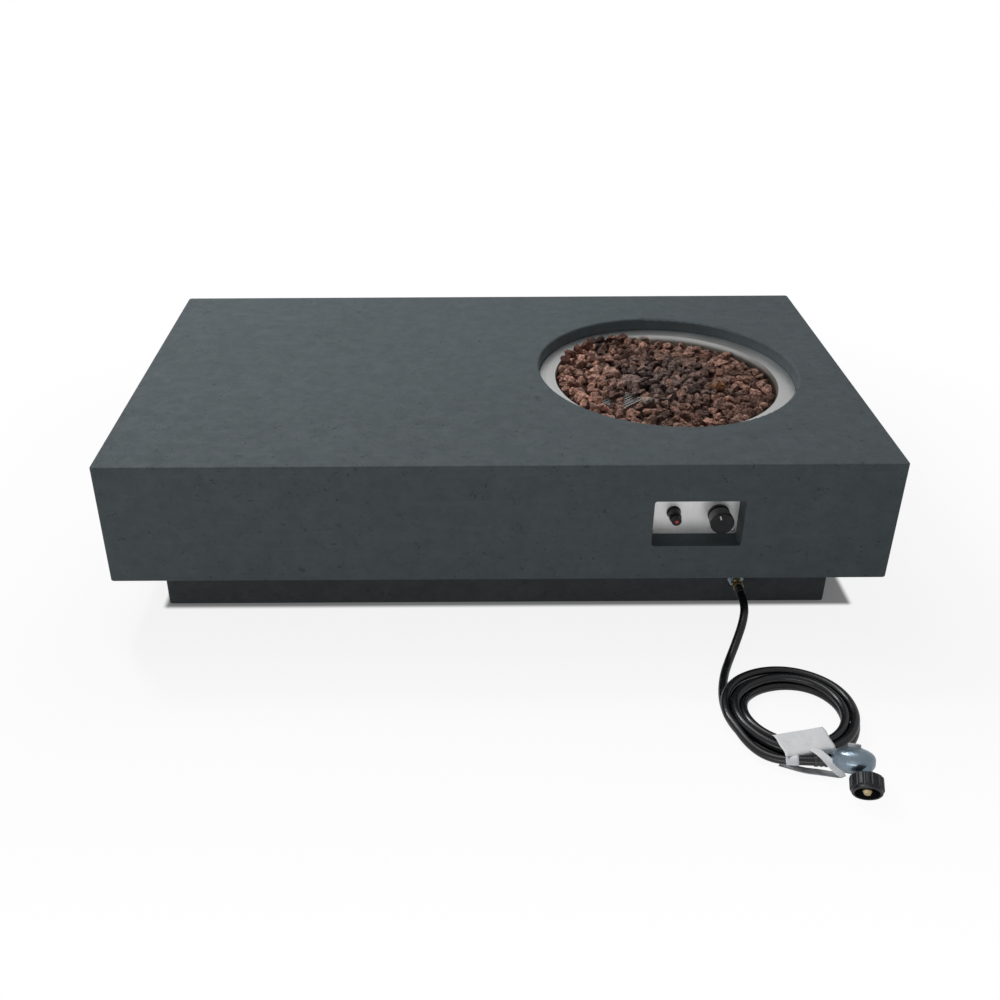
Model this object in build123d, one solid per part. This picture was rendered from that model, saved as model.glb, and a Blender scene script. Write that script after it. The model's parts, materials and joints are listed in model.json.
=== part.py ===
from build123d import *
import math
import os
import random

# A low fire table of cast concrete with a round gas burner, its controls, and its gas hose.
# Millimetres. The origin is on the floor under the middle of the table: +X runs along its length,
# -Y is the side with the controls, +Z is up.

# Table
TABLE_LENGTH = 1422.0
TABLE_DEPTH = 813.0
TABLE_TOP = 350.0
APRON_BOTTOM = 110.0
SHELL_WALL = 28.0
TOP_THICKNESS = 30.0
LIP_THICKNESS = 22.0
LIP_WIDTH = 130.0
CORNER_ROUND = 7.0
TOP_EDGE_ROUND = 3.0

# Base
PLINTH_SETBACK = 76.0
PLINTH_WALL = 40.0
PAD_THICKNESS = 3.0
PAD_SIZE = (90.0, 26.0)
BASE_BOLT_X = (-480.0, -160.0, 160.0, 480.0)
BASE_BOLT_RADIUS = 4.0

# Burner well: a round opening in the middle of the table's right half, with a ledge for the pan
WELL_X = TABLE_LENGTH / 4
WELL_RADIUS = 261.0
WELL_EDGE_ROUND = 5.0
FLANGE_TOP = TABLE_TOP - 26.0
LEDGE_INNER_RADIUS = 240.0
LEDGE_OUTER_RADIUS = 290.0
SEAT_RADIUS = WELL_RADIUS - 1.0
SHEET_METAL = 1.2

# Pan, burner and stones
FLANGE_RADIUS = WELL_RADIUS - 1.5
PAN_MOUTH_RADIUS = 228.0
PAN_FLOOR_RADIUS = 198.0
PAN_FLOOR = 234.0
RING_RADIUS = 95.0
RING_HALF_WIDTH, RING_HALF_HEIGHT = 8.0, 7.0
RING_HEIGHT = 252.0
PORT_COUNT = 16
MIXER_RADIUS = 13.0
MIXER_HEIGHT = 190.0
MIXER_END = 150.0
BED_TOP = 304.0
STONE_SPACING = 24.0
GUARD_CENTRE = (256.0, -82.0)
GUARD_SIZE = (70.0, 50.0)
GUARD_TURN = 43.0
GUARD_TOP = 315.0
GUARD_GRID = (9, 6)
GUARD_FRAME, GUARD_WIRE, GUARD_SHEET = 1.0, 1.2, 0.8
PROBE_X = (262.0, 246.0)
PROBE_Y = -80.0

# Control recess in the front apron, and the panel at its back
RECESS_X = (WELL_X - 81.0, WELL_X + 81.0)
RECESS_Z = (182.0, 276.0)
RECESS_DEPTH = 41.0
RECESS_CORNER = 5.0
WINDOW_MARGIN = 14.0
PANEL_FACE = TABLE_DEPTH / 2 - RECESS_DEPTH
PANEL_THICKNESS = 1.5
PANEL_SCREW_INSET = (7.0, 7.5)

# Controls: places on the panel, and distances in front of the table's middle
KNOB_X, KNOB_Z = 400.0, 225.0
KNOB_BACK, KNOB_FRONT = PANEL_FACE + 9.5, PANEL_FACE + 36.0
KNOB_BACK_RADIUS, KNOB_FRONT_RADIUS = 19.8, 21.6
POINTER_ANGLE = 20.0
STEM_RADIUS = 4.0
IGNITER_X, IGNITER_Z = 318.0, 229.0
CAP_BACK, CAP_FRONT = PANEL_FACE + 3.3, PANEL_FACE + 23.5
BUTTON_FRONT = PANEL_FACE + 34.0

# Gas inlet through the front of the plinth
INLET_X, INLET_Z = 455.0, 62.0
PLINTH_FACE = TABLE_DEPTH / 2 - PLINTH_SETBACK
HOSE_START = 388.0

# Hose: the loose stretch, the coil and the stretch into the regulator
HOSE_RADIUS = 7.5
HOSE_ROUTE = [
    (INLET_X, -HOSE_START, INLET_Z),
    (INLET_X, -422.0, INLET_Z),
    (446.0, -454.0, 49.5),
    (430.0, -482.0, 24.5),
    (411.5, -514.0, 8.2),
    (395.0, -551.0, 7.6),
    (382.0, -595.0, 7.6),
    (377.0, -637.0, 7.6),
]
COIL_CENTRE = (482.0, -652.0)
COIL_INNER, COIL_OUTER = 66.0, 113.0
COIL_TOP = 30.4
TAIL_ROUTE = [
    (383.0, -697.0, 16.0),
    (393.0, -724.0, 14.0),
    (410.8, -747.8, 12.5),
    (435.0, -764.0, 14.5),
    (460.8, -771.7, 20.7),
    (486.4, -775.6, 22.9),
]
BAND_AT, BAND_LENGTH = 0.84, 14.0

# Regulator: a disc-shaped housing that leans back, with the hose on its left and the hand wheel in front
REGULATOR_CENTRE = (545.5, -782.4, 31.0)
REGULATOR_LEAN = (0.13, 0.615, 0.778)
REGULATOR_RADIUS = 33.0
SEAM_HEIGHT = 1.0
BONNET_HEIGHT, CASTING_DEPTH = 20.0, 21.0
DOME_ROUND = 2.3
FERRULE_LENGTH = 21.0
NUT_FRONT = (548.4, -844.2, 22.8)
NUT_LINE = (-0.19, -0.925, -0.33)
NUT_RADIUS, NUT_COLLAR_RADIUS, NUT_LENGTH = 25.5, 23.0, 26.0
NUT_BACK_PLATE = 4.5
NUT_GROOVES = 15
NIPPLE_RADIUS = 7.0


# ---------------------------------------------------------------- shapes that repeat


def block(x0, x1, y0, y1, z0, z1):
    """A box between two corners."""
    return Pos((x0 + x1) / 2, (y0 + y1) / 2, (z0 + z1) / 2) * Box(x1 - x0, y1 - y0, z1 - z0)


def upright(x, y, radius, z0, z1):
    """A round bar that stands along Z."""
    return Pos(x, y, (z0 + z1) / 2) * Cylinder(radius, z1 - z0)


def facing_front(x, z):
    """A plane whose Z runs out of the front, so its heights are distances ahead of the table's middle."""
    return Plane(origin=(x, 0, z), x_dir=(1, 0, 0), z_dir=(0, -1, 0))


def turned(plane, profile):
    """A solid of revolution about the plane's Z, from (radius, height) points."""
    outline = Polyline(*[(radius, 0, height) for radius, height in profile], close=True)
    return plane.location * revolve(make_face(outline), Axis.Z, 360)


def sleeve(plane, inner, outer, start, end):
    """A plain ring between two radii."""
    return turned(plane, [(inner, start), (outer, start), (outer, end), (inner, end)])


def rod(plane, radius, start, end):
    """A plain round bar along the plane's Z."""
    return plane.location * Pos(0, 0, (start + end) / 2) * Cylinder(radius, end - start)


def hex_nut(plane, across_flats, bore, start, end):
    """A hexagon with a round bore."""
    hexagon = RegularPolygon(across_flats / 2, 6, major_radius=False) - Circle(bore)
    return plane.location * Pos(0, 0, start) * extrude(hexagon, end - start)


def swept(line, radius, bore=0.0):
    """A round tube along a path."""
    section = Circle(radius) - Circle(bore) if bore else Circle(radius)
    return sweep(Plane(origin=line @ 0, z_dir=line % 0) * section, path=line)


def coil_spring(plane, mean_radius, wire, start, end, turns):
    """A helical spring between two heights."""
    height = end - start - 2 * wire
    helix = Helix(pitch=height / turns, height=height, radius=mean_radius)
    section = Plane(origin=helix @ 0, z_dir=helix % 0) * Circle(wire)
    return plane.location * Pos(0, 0, start + wire) * sweep(section, path=helix, is_frenet=True)


def hose_line(name, points):
    """A hose's centreline: straight runs joined by arcs as large as the runs allow."""
    corners = [Vector(*point) for point in points]
    radii = []
    for before, corner, after in zip(corners, corners[1:], corners[2:]):
        turn = math.radians((corner - before).get_angle(after - corner))
        shorter = min((corner - before).length, (after - corner).length)
        radii.append(0.45 * shorter / math.tan(turn / 2))
    print(name, "radii", [round(radius) for radius in radii])
    return FilletPolyline(*corners, radius=radii)


# ---------------------------------------------------------------- casing and base


def concrete_shell():
    """Top and apron in one casting, open below, with the burner well and the control recess."""
    half_x, half_y = TABLE_LENGTH / 2, TABLE_DEPTH / 2
    body = block(-half_x, half_x, -half_y, half_y, APRON_BOTTOM, TABLE_TOP)
    body = fillet(body.edges().filter_by(Axis.Z), CORNER_ROUND)
    body = fillet(body.faces().sort_by(Axis.Z)[-1].edges(), TOP_EDGE_ROUND)
    body = fillet(body.faces().sort_by(Axis.Z)[0].edges(), TOP_EDGE_ROUND)

    inner_x, inner_y = half_x - SHELL_WALL, half_y - SHELL_WALL
    ceiling = TABLE_TOP - TOP_THICKNESS
    body -= block(-inner_x, inner_x, -inner_y, inner_y, APRON_BOTTOM + LIP_THICKNESS, ceiling)
    lip_x, lip_y = half_x - LIP_WIDTH, half_y - LIP_WIDTH
    body -= block(-lip_x, lip_x, -lip_y, lip_y, APRON_BOTTOM - 1, APRON_BOTTOM + LIP_THICKNESS + 1)

    ledge = FLANGE_TOP - SHEET_METAL
    body += upright(WELL_X, 0, LEDGE_OUTER_RADIUS, ledge - 20, ceiling + 1)
    body -= upright(WELL_X, 0, LEDGE_INNER_RADIUS, ledge - 21, ledge + 1)
    body -= upright(WELL_X, 0, SEAT_RADIUS, ledge, FLANGE_TOP + 1)
    body -= upright(WELL_X, 0, WELL_RADIUS, FLANGE_TOP, TABLE_TOP + 1)
    top = body.faces().filter_by(Axis.Z).sort_by(Axis.Z)[-1]
    rim = top.edges().filter_by(GeomType.CIRCLE).sort_by(SortBy.RADIUS)[-1]
    body = fillet(rim, WELL_EDGE_ROUND)

    x0, x1 = RECESS_X
    z0, z1 = RECESS_Z
    back = PANEL_FACE - PANEL_THICKNESS
    body += block(x0 - 14, x1 + 14, -inner_y - 1, -back + 12, z0 - 14, z1 + 14)
    mouth = block(x0, x1, -half_y - 1, -back, z0, z1)
    body -= fillet(mouth.edges().filter_by(Axis.Y), RECESS_CORNER)
    margin = WINDOW_MARGIN
    body -= block(x0 + margin, x1 - margin, -back - 1, -back + 13, z0 + margin, z1 - margin)
    for x, z in panel_screw_places():
        body -= rod(facing_front(x, z), 2.0, back - 12, back + 0.5)
    for x in BASE_BOLT_X:
        for y in base_bolt_rows():
            body -= upright(x, y, BASE_BOLT_RADIUS + 0.5, APRON_BOTTOM - 1, APRON_BOTTOM + LIP_THICKNESS + 1)
    return {"concrete_shell": body}


def base_bolt_rows():
    """The two Y places of the bolts that hold shell and plinth together."""
    row = PLINTH_FACE - PLINTH_WALL / 2
    return (-row, row)


def base():
    """Set-back plinth, its pads, and the bolts that hold the shell to it."""
    half_x, half_y = TABLE_LENGTH / 2 - PLINTH_SETBACK, PLINTH_FACE
    ring = block(-half_x, half_x, -half_y, half_y, PAD_THICKNESS, APRON_BOTTOM)
    ring = fillet(ring.edges().filter_by(Axis.Z), CORNER_ROUND)
    wall_x, wall_y = half_x - PLINTH_WALL, half_y - PLINTH_WALL
    ring -= block(-wall_x, wall_x, -wall_y, wall_y, 0, APRON_BOTTOM + 1)
    ring -= rod(facing_front(INLET_X, INLET_Z), 11.0, half_y - PLINTH_WALL - 1, half_y + 1)

    bolts, inserts = [], []
    for x in BASE_BOLT_X:
        for y in base_bolt_rows():
            ring -= upright(x, y, 7.0, APRON_BOTTOM - 32, APRON_BOTTOM + 1)
            inserts.append(upright(x, y, 7.0, APRON_BOTTOM - 32, APRON_BOTTOM)
                           - upright(x, y, BASE_BOLT_RADIUS, APRON_BOTTOM - 30, APRON_BOTTOM + 1))
            seat = APRON_BOTTOM + LIP_THICKNESS
            head = Pos(x, y, seat) * extrude(RegularPolygon(6.5, 6, major_radius=False), 5.3)
            bolts.append(head + upright(x, y, BASE_BOLT_RADIUS, APRON_BOTTOM - 26, seat))

    pads = []
    long_x, short_x = PAD_SIZE
    row_y = PLINTH_FACE - PLINTH_WALL / 2
    for x in (-half_x + 60, 0, half_x - 60):
        for y in (-row_y, row_y):
            pad = block(x - long_x / 2, x + long_x / 2, y - short_x / 2, y + short_x / 2, 0, PAD_THICKNESS)
            pads.append(fillet(pad.edges().filter_by(Axis.Z), 6))
    return {
        "concrete_plinth": ring,
        "plinth_bolts": Compound(bolts),
        "plinth_inserts": Compound(inserts),
        "rubber_feet": Compound(pads),
    }


# ---------------------------------------------------------------- burner


def burner_pan():
    """Stainless bowl whose flange lies on the ledge of the well."""
    t = SHEET_METAL
    slope = PAN_MOUTH_RADIUS - PAN_FLOOR_RADIUS
    skew = t * math.hypot(slope, FLANGE_TOP - PAN_FLOOR) / (FLANGE_TOP - PAN_FLOOR)
    profile = [
        (MIXER_RADIUS + 0.4, PAN_FLOOR),
        (PAN_FLOOR_RADIUS, PAN_FLOOR),
        (PAN_MOUTH_RADIUS, FLANGE_TOP - t),
        (FLANGE_RADIUS, FLANGE_TOP - t),
        (FLANGE_RADIUS, FLANGE_TOP),
        (PAN_MOUTH_RADIUS - skew, FLANGE_TOP),
        (PAN_FLOOR_RADIUS - skew, PAN_FLOOR + t),
        (MIXER_RADIUS + 0.4, PAN_FLOOR + t),
    ]
    pan = turned(Plane(origin=(WELL_X, 0, 0)), profile)
    for x in PROBE_X:
        pan -= upright(x, PROBE_Y, 3.2, PAN_FLOOR - 1, PAN_FLOOR + 3)
    return pan


def ring_places(count, radius, offset=0.0):
    """Points evenly spaced on a circle about the well's axis."""
    for step in range(count):
        angle = math.tau * step / count + offset
        yield WELL_X + radius * math.cos(angle), radius * math.sin(angle)


def burner_core(grow=0.0):
    """Pressed ring duct with a flat crown, its cross bar and its hub, grown by a clearance."""
    wide, tall, cut = RING_HALF_WIDTH + grow, RING_HALF_HEIGHT + grow, 3.0
    section = [(-wide, cut - tall), (cut - wide, -tall), (wide - cut, -tall), (wide, cut - tall),
               (wide, tall - cut), (wide - cut, tall), (cut - wide, tall), (-wide, tall - cut)]
    core = turned(Plane(origin=(WELL_X, 0, RING_HEIGHT)), [(RING_RADIUS + r, z) for r, z in section])
    bar = Plane(origin=(WELL_X, 0, RING_HEIGHT), z_dir=(1, 0, 0))
    core += rod(bar, 5.0 + grow, -RING_RADIUS, RING_RADIUS)
    return core + upright(WELL_X, 0, MIXER_RADIUS + 4 + grow, 238 - grow, 264 + grow)


def burner():
    """Ring, legs, mixer tube with its air shutter, jet and the tube from the valve."""
    ring = burner_core() - upright(WELL_X, 0, MIXER_RADIUS, 237, 258)
    for x, y in ring_places(PORT_COUNT, RING_RADIUS, math.pi / PORT_COUNT):
        ring -= upright(x, y, 1.5, RING_HEIGHT, RING_HEIGHT + RING_HALF_HEIGHT + 1)
    floor = PAN_FLOOR + SHEET_METAL
    legs = [upright(x, y, 4.0, floor, RING_HEIGHT - RING_HALF_HEIGHT)
            for x, y in ring_places(3, RING_RADIUS, math.pi / 2)]

    path = FilletPolyline((WELL_X, 0, 256), (WELL_X, 0, MIXER_HEIGHT), (WELL_X, -MIXER_END, MIXER_HEIGHT),
                          radius=26)
    mixer = swept(path, MIXER_RADIUS, MIXER_RADIUS - 1.5)
    axis = facing_front(WELL_X, MIXER_HEIGHT)
    mixer += sleeve(axis, 4.5, MIXER_RADIUS - 1, MIXER_END - 3, MIXER_END)
    slot = block(WELL_X - 30, WELL_X + 30, -MIXER_END + 12, -MIXER_END + 22, MIXER_HEIGHT - 5, MIXER_HEIGHT + 5)
    shutter = sleeve(axis, MIXER_RADIUS + 0.3, MIXER_RADIUS + 2, MIXER_END - 28, MIXER_END - 6)
    tab = block(WELL_X - 2, WELL_X + 2, -MIXER_END + 12, -MIXER_END + 22,
                MIXER_HEIGHT + MIXER_RADIUS + 1.2, MIXER_HEIGHT + MIXER_RADIUS + 10)
    nut = hex_nut(Plane(origin=(WELL_X, 0, 0)), 38, MIXER_RADIUS, PAN_FLOOR - 8, PAN_FLOOR)
    jet = rod(axis, 4.5, MIXER_END - 12, MIXER_END) + hex_nut(axis, 14, 1.0, MIXER_END, MIXER_END + 12)
    feed = FilletPolyline(
        (WELL_X, -MIXER_END - 12, MIXER_HEIGHT),
        (WELL_X, -MIXER_END - 50, MIXER_HEIGHT),
        (KNOB_X, -256, 209),
        (KNOB_X, -298, 209),
        radius=20,
    )
    return {
        "burner_ring": ring,
        "burner_legs": Compound(legs),
        "mixer_tube": mixer - slot,
        "air_shutter": shutter - slot + tab,
        "mixer_nut": nut,
        "gas_orifice": jet,
        "burner_tube": swept(feed, 4.8),
    }


def guard_pitch():
    """Width and depth of one cell of the mesh guard."""
    return tuple((size - 2 * GUARD_FRAME) / count for size, count in zip(GUARD_SIZE, GUARD_GRID))


def guard_posts(grow=0.0):
    """The four wires that carry the mesh guard, each under a crossing of the mesh."""
    half_x, half_y = 2.5 * guard_pitch()[0], 2 * guard_pitch()[1]
    place = Pos(*GUARD_CENTRE, 0) * Rot(0, 0, GUARD_TURN)
    return [place * upright(x, y, 1.5 + grow, PAN_FLOOR + SHEET_METAL, GUARD_TOP - GUARD_SHEET)
            for x in (-half_x, half_x) for y in (-half_y, half_y)]


def probes(grow=0.0):
    """Thermocouple tip, electrode and the plate that holds them."""
    floor = PAN_FLOOR + SHEET_METAL
    x_tip, x_spark = PROBE_X
    plate = block(x_spark - 8 - grow, x_tip + 8 + grow, PROBE_Y + 2.5 - grow, PROBE_Y + 4 + grow, floor, 290)
    foot = block(x_spark - 8 - grow, x_tip + 8 + grow, PROBE_Y + 2.5, PROBE_Y + 20 + grow, floor, floor + 1.5)
    return {
        "pilot_bracket": plate + foot,
        "thermocouple_tip": upright(x_tip, PROBE_Y, 2.5 + grow, floor - 8, 309 + grow),
        "spark_electrode": upright(x_spark, PROBE_Y + 0.5, 2.0 + grow, floor - 8, 307 + grow),
    }


def pilot():
    """Mesh guard over the flame sensor and the electrode."""
    pitch_x, pitch_y = guard_pitch()
    plate = Rectangle(*GUARD_SIZE) - GridLocations(pitch_x, pitch_y, *GUARD_GRID) * Rectangle(
        pitch_x - GUARD_WIRE, pitch_y - GUARD_WIRE)
    mesh = Pos(*GUARD_CENTRE, GUARD_TOP - GUARD_SHEET) * Rot(0, 0, GUARD_TURN) * extrude(plate, GUARD_SHEET)
    for post in guard_posts():
        mesh += post
    return {"pilot_guard": mesh, **probes()}


def stone(rng, x, y, radius, height):
    """One broken stone: a flat foot, a smaller twisted top and triangles between them."""
    count = rng.choice((5, 6))
    twist = math.pi / count
    bulge = [radius * rng.uniform(0.82, 1.0) for _ in range(count)]
    crown = [radius * rng.uniform(0.45, 0.72) for _ in range(count)]
    start = rng.uniform(0, math.tau)
    lower = [Vector(x + r * math.cos(start + math.tau * i / count),
                    y + r * math.sin(start + math.tau * i / count), BED_TOP) for i, r in enumerate(bulge)]
    upper = [Vector(x + r * math.cos(start + twist + math.tau * i / count),
                    y + r * math.sin(start + twist + math.tau * i / count), BED_TOP + height)
             for i, r in enumerate(crown)]
    faces = [Face(Wire.make_polygon(lower)), Face(Wire.make_polygon(upper))]
    for i in range(count):
        after = (i + 1) % count
        faces.append(Face(Wire.make_polygon([lower[i], lower[after], upper[i]])))
        faces.append(Face(Wire.make_polygon([upper[i], lower[after], upper[after]])))
    return Solid(Shell(faces))


def stones():
    """The fill of the bowl, and the loose stones that lie on it in rings."""
    plane = Plane(origin=(WELL_X, 0, 0))
    rise = (BED_TOP - PAN_FLOOR) / (FLANGE_TOP - PAN_FLOOR)
    edge = PAN_FLOOR_RADIUS + rise * (PAN_MOUTH_RADIUS - PAN_FLOOR_RADIUS) - SHEET_METAL - 1
    floor = PAN_FLOOR + SHEET_METAL + 0.4
    bed = turned(plane, [(0, floor), (PAN_FLOOR_RADIUS - SHEET_METAL - 1, floor), (edge, BED_TOP), (0, BED_TOP)])
    bed -= burner_core(0.3) + upright(WELL_X, 0, MIXER_RADIUS + 0.3, floor - 1, RING_HEIGHT)
    for x, y in ring_places(3, RING_RADIUS, math.pi / 2):
        bed -= upright(x, y, 4.3, floor - 1, RING_HEIGHT)
    for solid in [*probes(0.3).values(), *guard_posts(0.3)]:
        bed -= solid

    rng = random.Random(11)
    turn = math.radians(GUARD_TURN)
    loose = []
    ring_count = int((edge - 12) / STONE_SPACING)
    for ring in range(ring_count + 1):
        ring_radius = ring * (edge - 12) / ring_count
        places = max(1, int(math.tau * ring_radius / STONE_SPACING))
        for x, y in ring_places(places, ring_radius, rng.uniform(0, 1)):
            dx, dy = x - GUARD_CENTRE[0], y - GUARD_CENTRE[1]
            along, across = dx * math.cos(turn) + dy * math.sin(turn), dy * math.cos(turn) - dx * math.sin(turn)
            near_guard = abs(along) < GUARD_SIZE[0] / 2 + 12 and abs(across) < GUARD_SIZE[1] / 2 + 12
            height = 9 + 8 * (1 - (ring_radius / edge) ** 2) + rng.uniform(-1.5, 2)
            if not near_guard:
                loose.append(stone(rng, x, y, rng.uniform(9.8, 11.4), height))
    return {"lava_rock_bed": bed, "lava_rocks_top": Compound(loose)}


# ---------------------------------------------------------------- controls


def panel_screw_places():
    """The four corner screws of the control panel."""
    inset_x, inset_z = PANEL_SCREW_INSET
    return [(x, z) for x in (RECESS_X[0] + inset_x, RECESS_X[1] - inset_x)
            for z in (RECESS_Z[0] + inset_z, RECESS_Z[1] - inset_z)]


def control_panel():
    """Stainless plate with holes for the valve neck, the igniter and four screws."""
    back = PANEL_FACE - PANEL_THICKNESS
    plate = block(RECESS_X[0] + 0.3, RECESS_X[1] - 0.3, -PANEL_FACE, -back, RECESS_Z[0] + 0.3, RECESS_Z[1] - 0.3)
    plate = fillet(plate.edges().filter_by(Axis.Y), RECESS_CORNER - 0.3)
    plate -= rod(facing_front(KNOB_X, KNOB_Z), 8.2, back - 1, PANEL_FACE + 1)
    plate -= rod(facing_front(IGNITER_X, IGNITER_Z), 10.6, back - 1, PANEL_FACE + 1)
    screws = []
    for x, z in panel_screw_places():
        axis = facing_front(x, z)
        plate -= rod(axis, 2.2, back - 1, PANEL_FACE + 1)
        head = turned(axis, [(0, PANEL_FACE), (3.8, PANEL_FACE), (3.4, PANEL_FACE + 1.4), (0, PANEL_FACE + 2.1)])
        slot = block(x - 2.2, x + 2.2, -PANEL_FACE - 3, -PANEL_FACE - 1, z - 0.5, z + 0.5)
        screws.append(head + rod(axis, 1.95, back - 10, PANEL_FACE) - slot)
    return {"control_panel": plate, "panel_screws": Compound(screws)}


def gas_valve():
    """Valve block with a spring-loaded stem, and the knob that is pushed in and turned."""
    axis = facing_front(KNOB_X, KNOB_Z)
    rear, front = PANEL_FACE - 55.5, PANEL_FACE - 9.5
    neck = PANEL_FACE + 5.5
    pocket_back, pocket_front = PANEL_FACE - 27.5, PANEL_FACE - 11.5
    body = block(KNOB_X - 20, KNOB_X + 20, -front, -rear, KNOB_Z - 27, KNOB_Z + 25)
    body = chamfer(body.edges().filter_by(Axis.Y), 3)
    body += rod(axis, 8.0, front - 1, neck)
    body += rod(facing_front(KNOB_X, 209), 7.0, rear - 12, rear + 1)
    body += upright(KNOB_X, -333, 8.0, 188, KNOB_Z - 26)
    body -= rod(axis, STEM_RADIUS + 0.08, pocket_front - 1, neck + 1)
    body -= rod(axis, 6.2, pocket_back, pocket_front)
    body -= rod(axis, 3.08, pocket_back - 22, pocket_back + 1)

    collar = pocket_front - 3
    pin_top = pocket_back + 3.4
    stem = rod(axis, STEM_RADIUS, pin_top, KNOB_FRONT - 6.5) + rod(axis, 5.9, collar, collar + 2)
    knob = turned(axis, [
        (STEM_RADIUS, KNOB_BACK), (KNOB_BACK_RADIUS - 0.8, KNOB_BACK), (KNOB_BACK_RADIUS, KNOB_BACK + 0.8),
        (KNOB_FRONT_RADIUS, KNOB_FRONT - 3.0), (KNOB_FRONT_RADIUS - 0.7, KNOB_FRONT - 0.9),
        (KNOB_FRONT_RADIUS - 2.4, KNOB_FRONT), (0, KNOB_FRONT), (0, KNOB_FRONT - 6.5),
        (STEM_RADIUS, KNOB_FRONT - 6.5),
    ])
    turn = axis.location * Rot(0, 0, POINTER_ANGLE)
    groove = turn * Pos(0, 13.5, KNOB_FRONT) * Box(2.0, 8.0, 1.2)
    pointer = turn * Pos(0, 13.5, KNOB_FRONT - 0.2) * Box(2.0, 8.0, 0.8)
    return {
        "gas_valve_body": body,
        "valve_lock_nut": hex_nut(axis, 22, 8.0, PANEL_FACE, PANEL_FACE + 4),
        "valve_stem": stem,
        "valve_thrust_pin": rod(axis, 3.0, pin_top - 18, pin_top),
        "valve_spring": coil_spring(axis, 5.1, 0.35, pocket_back, collar, 5),
        "safety_magnet": rod(axis, 7.5, rear - 18, rear),
        "control_knob": knob - groove,
        "knob_pointer": pointer,
        "knob_bezel": sleeve(axis, 13.2, 20.0, PANEL_FACE, PANEL_FACE + 5),
    }


def igniter():
    """Battery igniter: body behind the panel, and a screw cap that carries the push button."""
    axis = facing_front(IGNITER_X, IGNITER_Z)
    shoulder = PANEL_FACE + 3.0
    neck_end = PANEL_FACE + 13.5
    seat = PANEL_FACE + 20.8
    body = turned(axis, [
        (0, PANEL_FACE - 70), (10.4, PANEL_FACE - 70), (10.4, shoulder), (8.5, shoulder), (8.5, neck_end),
        (7.6, neck_end), (7.6, PANEL_FACE - 64), (0, PANEL_FACE - 64),
    ])
    cap = turned(axis, [
        (8.9, CAP_BACK), (11.0, CAP_BACK), (11.0, CAP_FRONT - 4), (10.3, CAP_FRONT), (9.15, CAP_FRONT),
        (9.15, seat), (10.25, seat), (10.25, neck_end), (8.9, neck_end),
    ])
    button = turned(axis, [
        (0, seat - 1.8), (9.9, seat - 1.8), (9.9, seat - 0.3), (8.8, seat - 0.3), (8.8, BUTTON_FRONT - 1.2),
        (7.6, BUTTON_FRONT), (0, BUTTON_FRONT),
    ])
    return {
        "igniter_body": body,
        "igniter_bezel": sleeve(axis, 10.4, 12.8, PANEL_FACE, PANEL_FACE + 2.8),
        "igniter_lock_nut": hex_nut(axis, 27, 10.4, PANEL_FACE - 7, PANEL_FACE - PANEL_THICKNESS),
        "igniter_cap": cap,
        "igniter_button": button,
        "igniter_button_dot": rod(axis, 3.0, BUTTON_FRONT, BUTTON_FRONT + 0.5),
        "igniter_spring": coil_spring(axis, 8.6, 0.35, neck_end, seat - 1.8, 2),
        "igniter_battery": rod(axis, 7.2, PANEL_FACE - 63, PANEL_FACE - 14) + rod(
            axis, 2.6, PANEL_FACE - 14, PANEL_FACE - 12.5),
    }


def gas_lines():
    """Bulkhead inlet in the plinth, the supply tube to the valve, the sensor lead and the spark wire."""
    axis = facing_front(INLET_X, INLET_Z)
    inside = PLINTH_FACE - PLINTH_WALL
    fitting = rod(axis, 10.5, inside - 14, PLINTH_FACE) + hex_nut(axis, 27, 5.0, PLINTH_FACE, PLINTH_FACE + 12)
    fitting += rod(axis, 7.5, PLINTH_FACE + 1, PLINTH_FACE + 21)
    supply = FilletPolyline(
        (INLET_X, -inside + 14, INLET_Z),
        (INLET_X, -inside + 55, INLET_Z),
        (INLET_X - 20, -235, 150),
        (KNOB_X, -333, 158),
        (KNOB_X, -333, 188),
        radius=14,
    )
    lead = FilletPolyline(
        (KNOB_X, -PANEL_FACE + 73.5, KNOB_Z),
        (KNOB_X, -PANEL_FACE + 98, KNOB_Z),
        (PROBE_X[0], -PANEL_FACE + 130, 205),
        (PROBE_X[0], PROBE_Y, 205),
        (PROBE_X[0], PROBE_Y, PAN_FLOOR - 7),
        radius=8,
    )
    wire = FilletPolyline(
        (IGNITER_X, -PANEL_FACE + 70, IGNITER_Z),
        (IGNITER_X, -PANEL_FACE + 95, IGNITER_Z),
        (PROBE_X[1], -PANEL_FACE + 130, 212),
        (PROBE_X[1], PROBE_Y + 0.5, 212),
        (PROBE_X[1], PROBE_Y + 0.5, PAN_FLOOR - 7),
        radius=6,
    )
    return {
        "inlet_fitting": fitting,
        "inlet_lock_nut": hex_nut(axis, 30, 10.5, inside - 7, inside),
        "supply_tube": swept(supply, 5.0),
        "thermocouple_lead": swept(lead, 1.2),
        "ignition_wire": swept(wire, 1.5),
    }


# ---------------------------------------------------------------- hose and regulator


def hose_end():
    """A plane at the regulator's end of the hose, whose Z runs on into the outlet."""
    last, before = Vector(*TAIL_ROUTE[-1]), Vector(*TAIL_ROUTE[-2])
    return Plane(origin=last, z_dir=last - before)


def dome(base, rise, last=68, steps=9):
    """Radius and height of points up one side of a round-shouldered dome on the regulator's rim."""
    points = []
    for step in range(steps + 1):
        angle = math.radians(last * step / steps)
        across, up = math.cos(angle) ** (2 / DOME_ROUND), math.sin(angle) ** (2 / DOME_ROUND)
        points.append((REGULATOR_RADIUS * across, base + rise * up))
    return points


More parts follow.
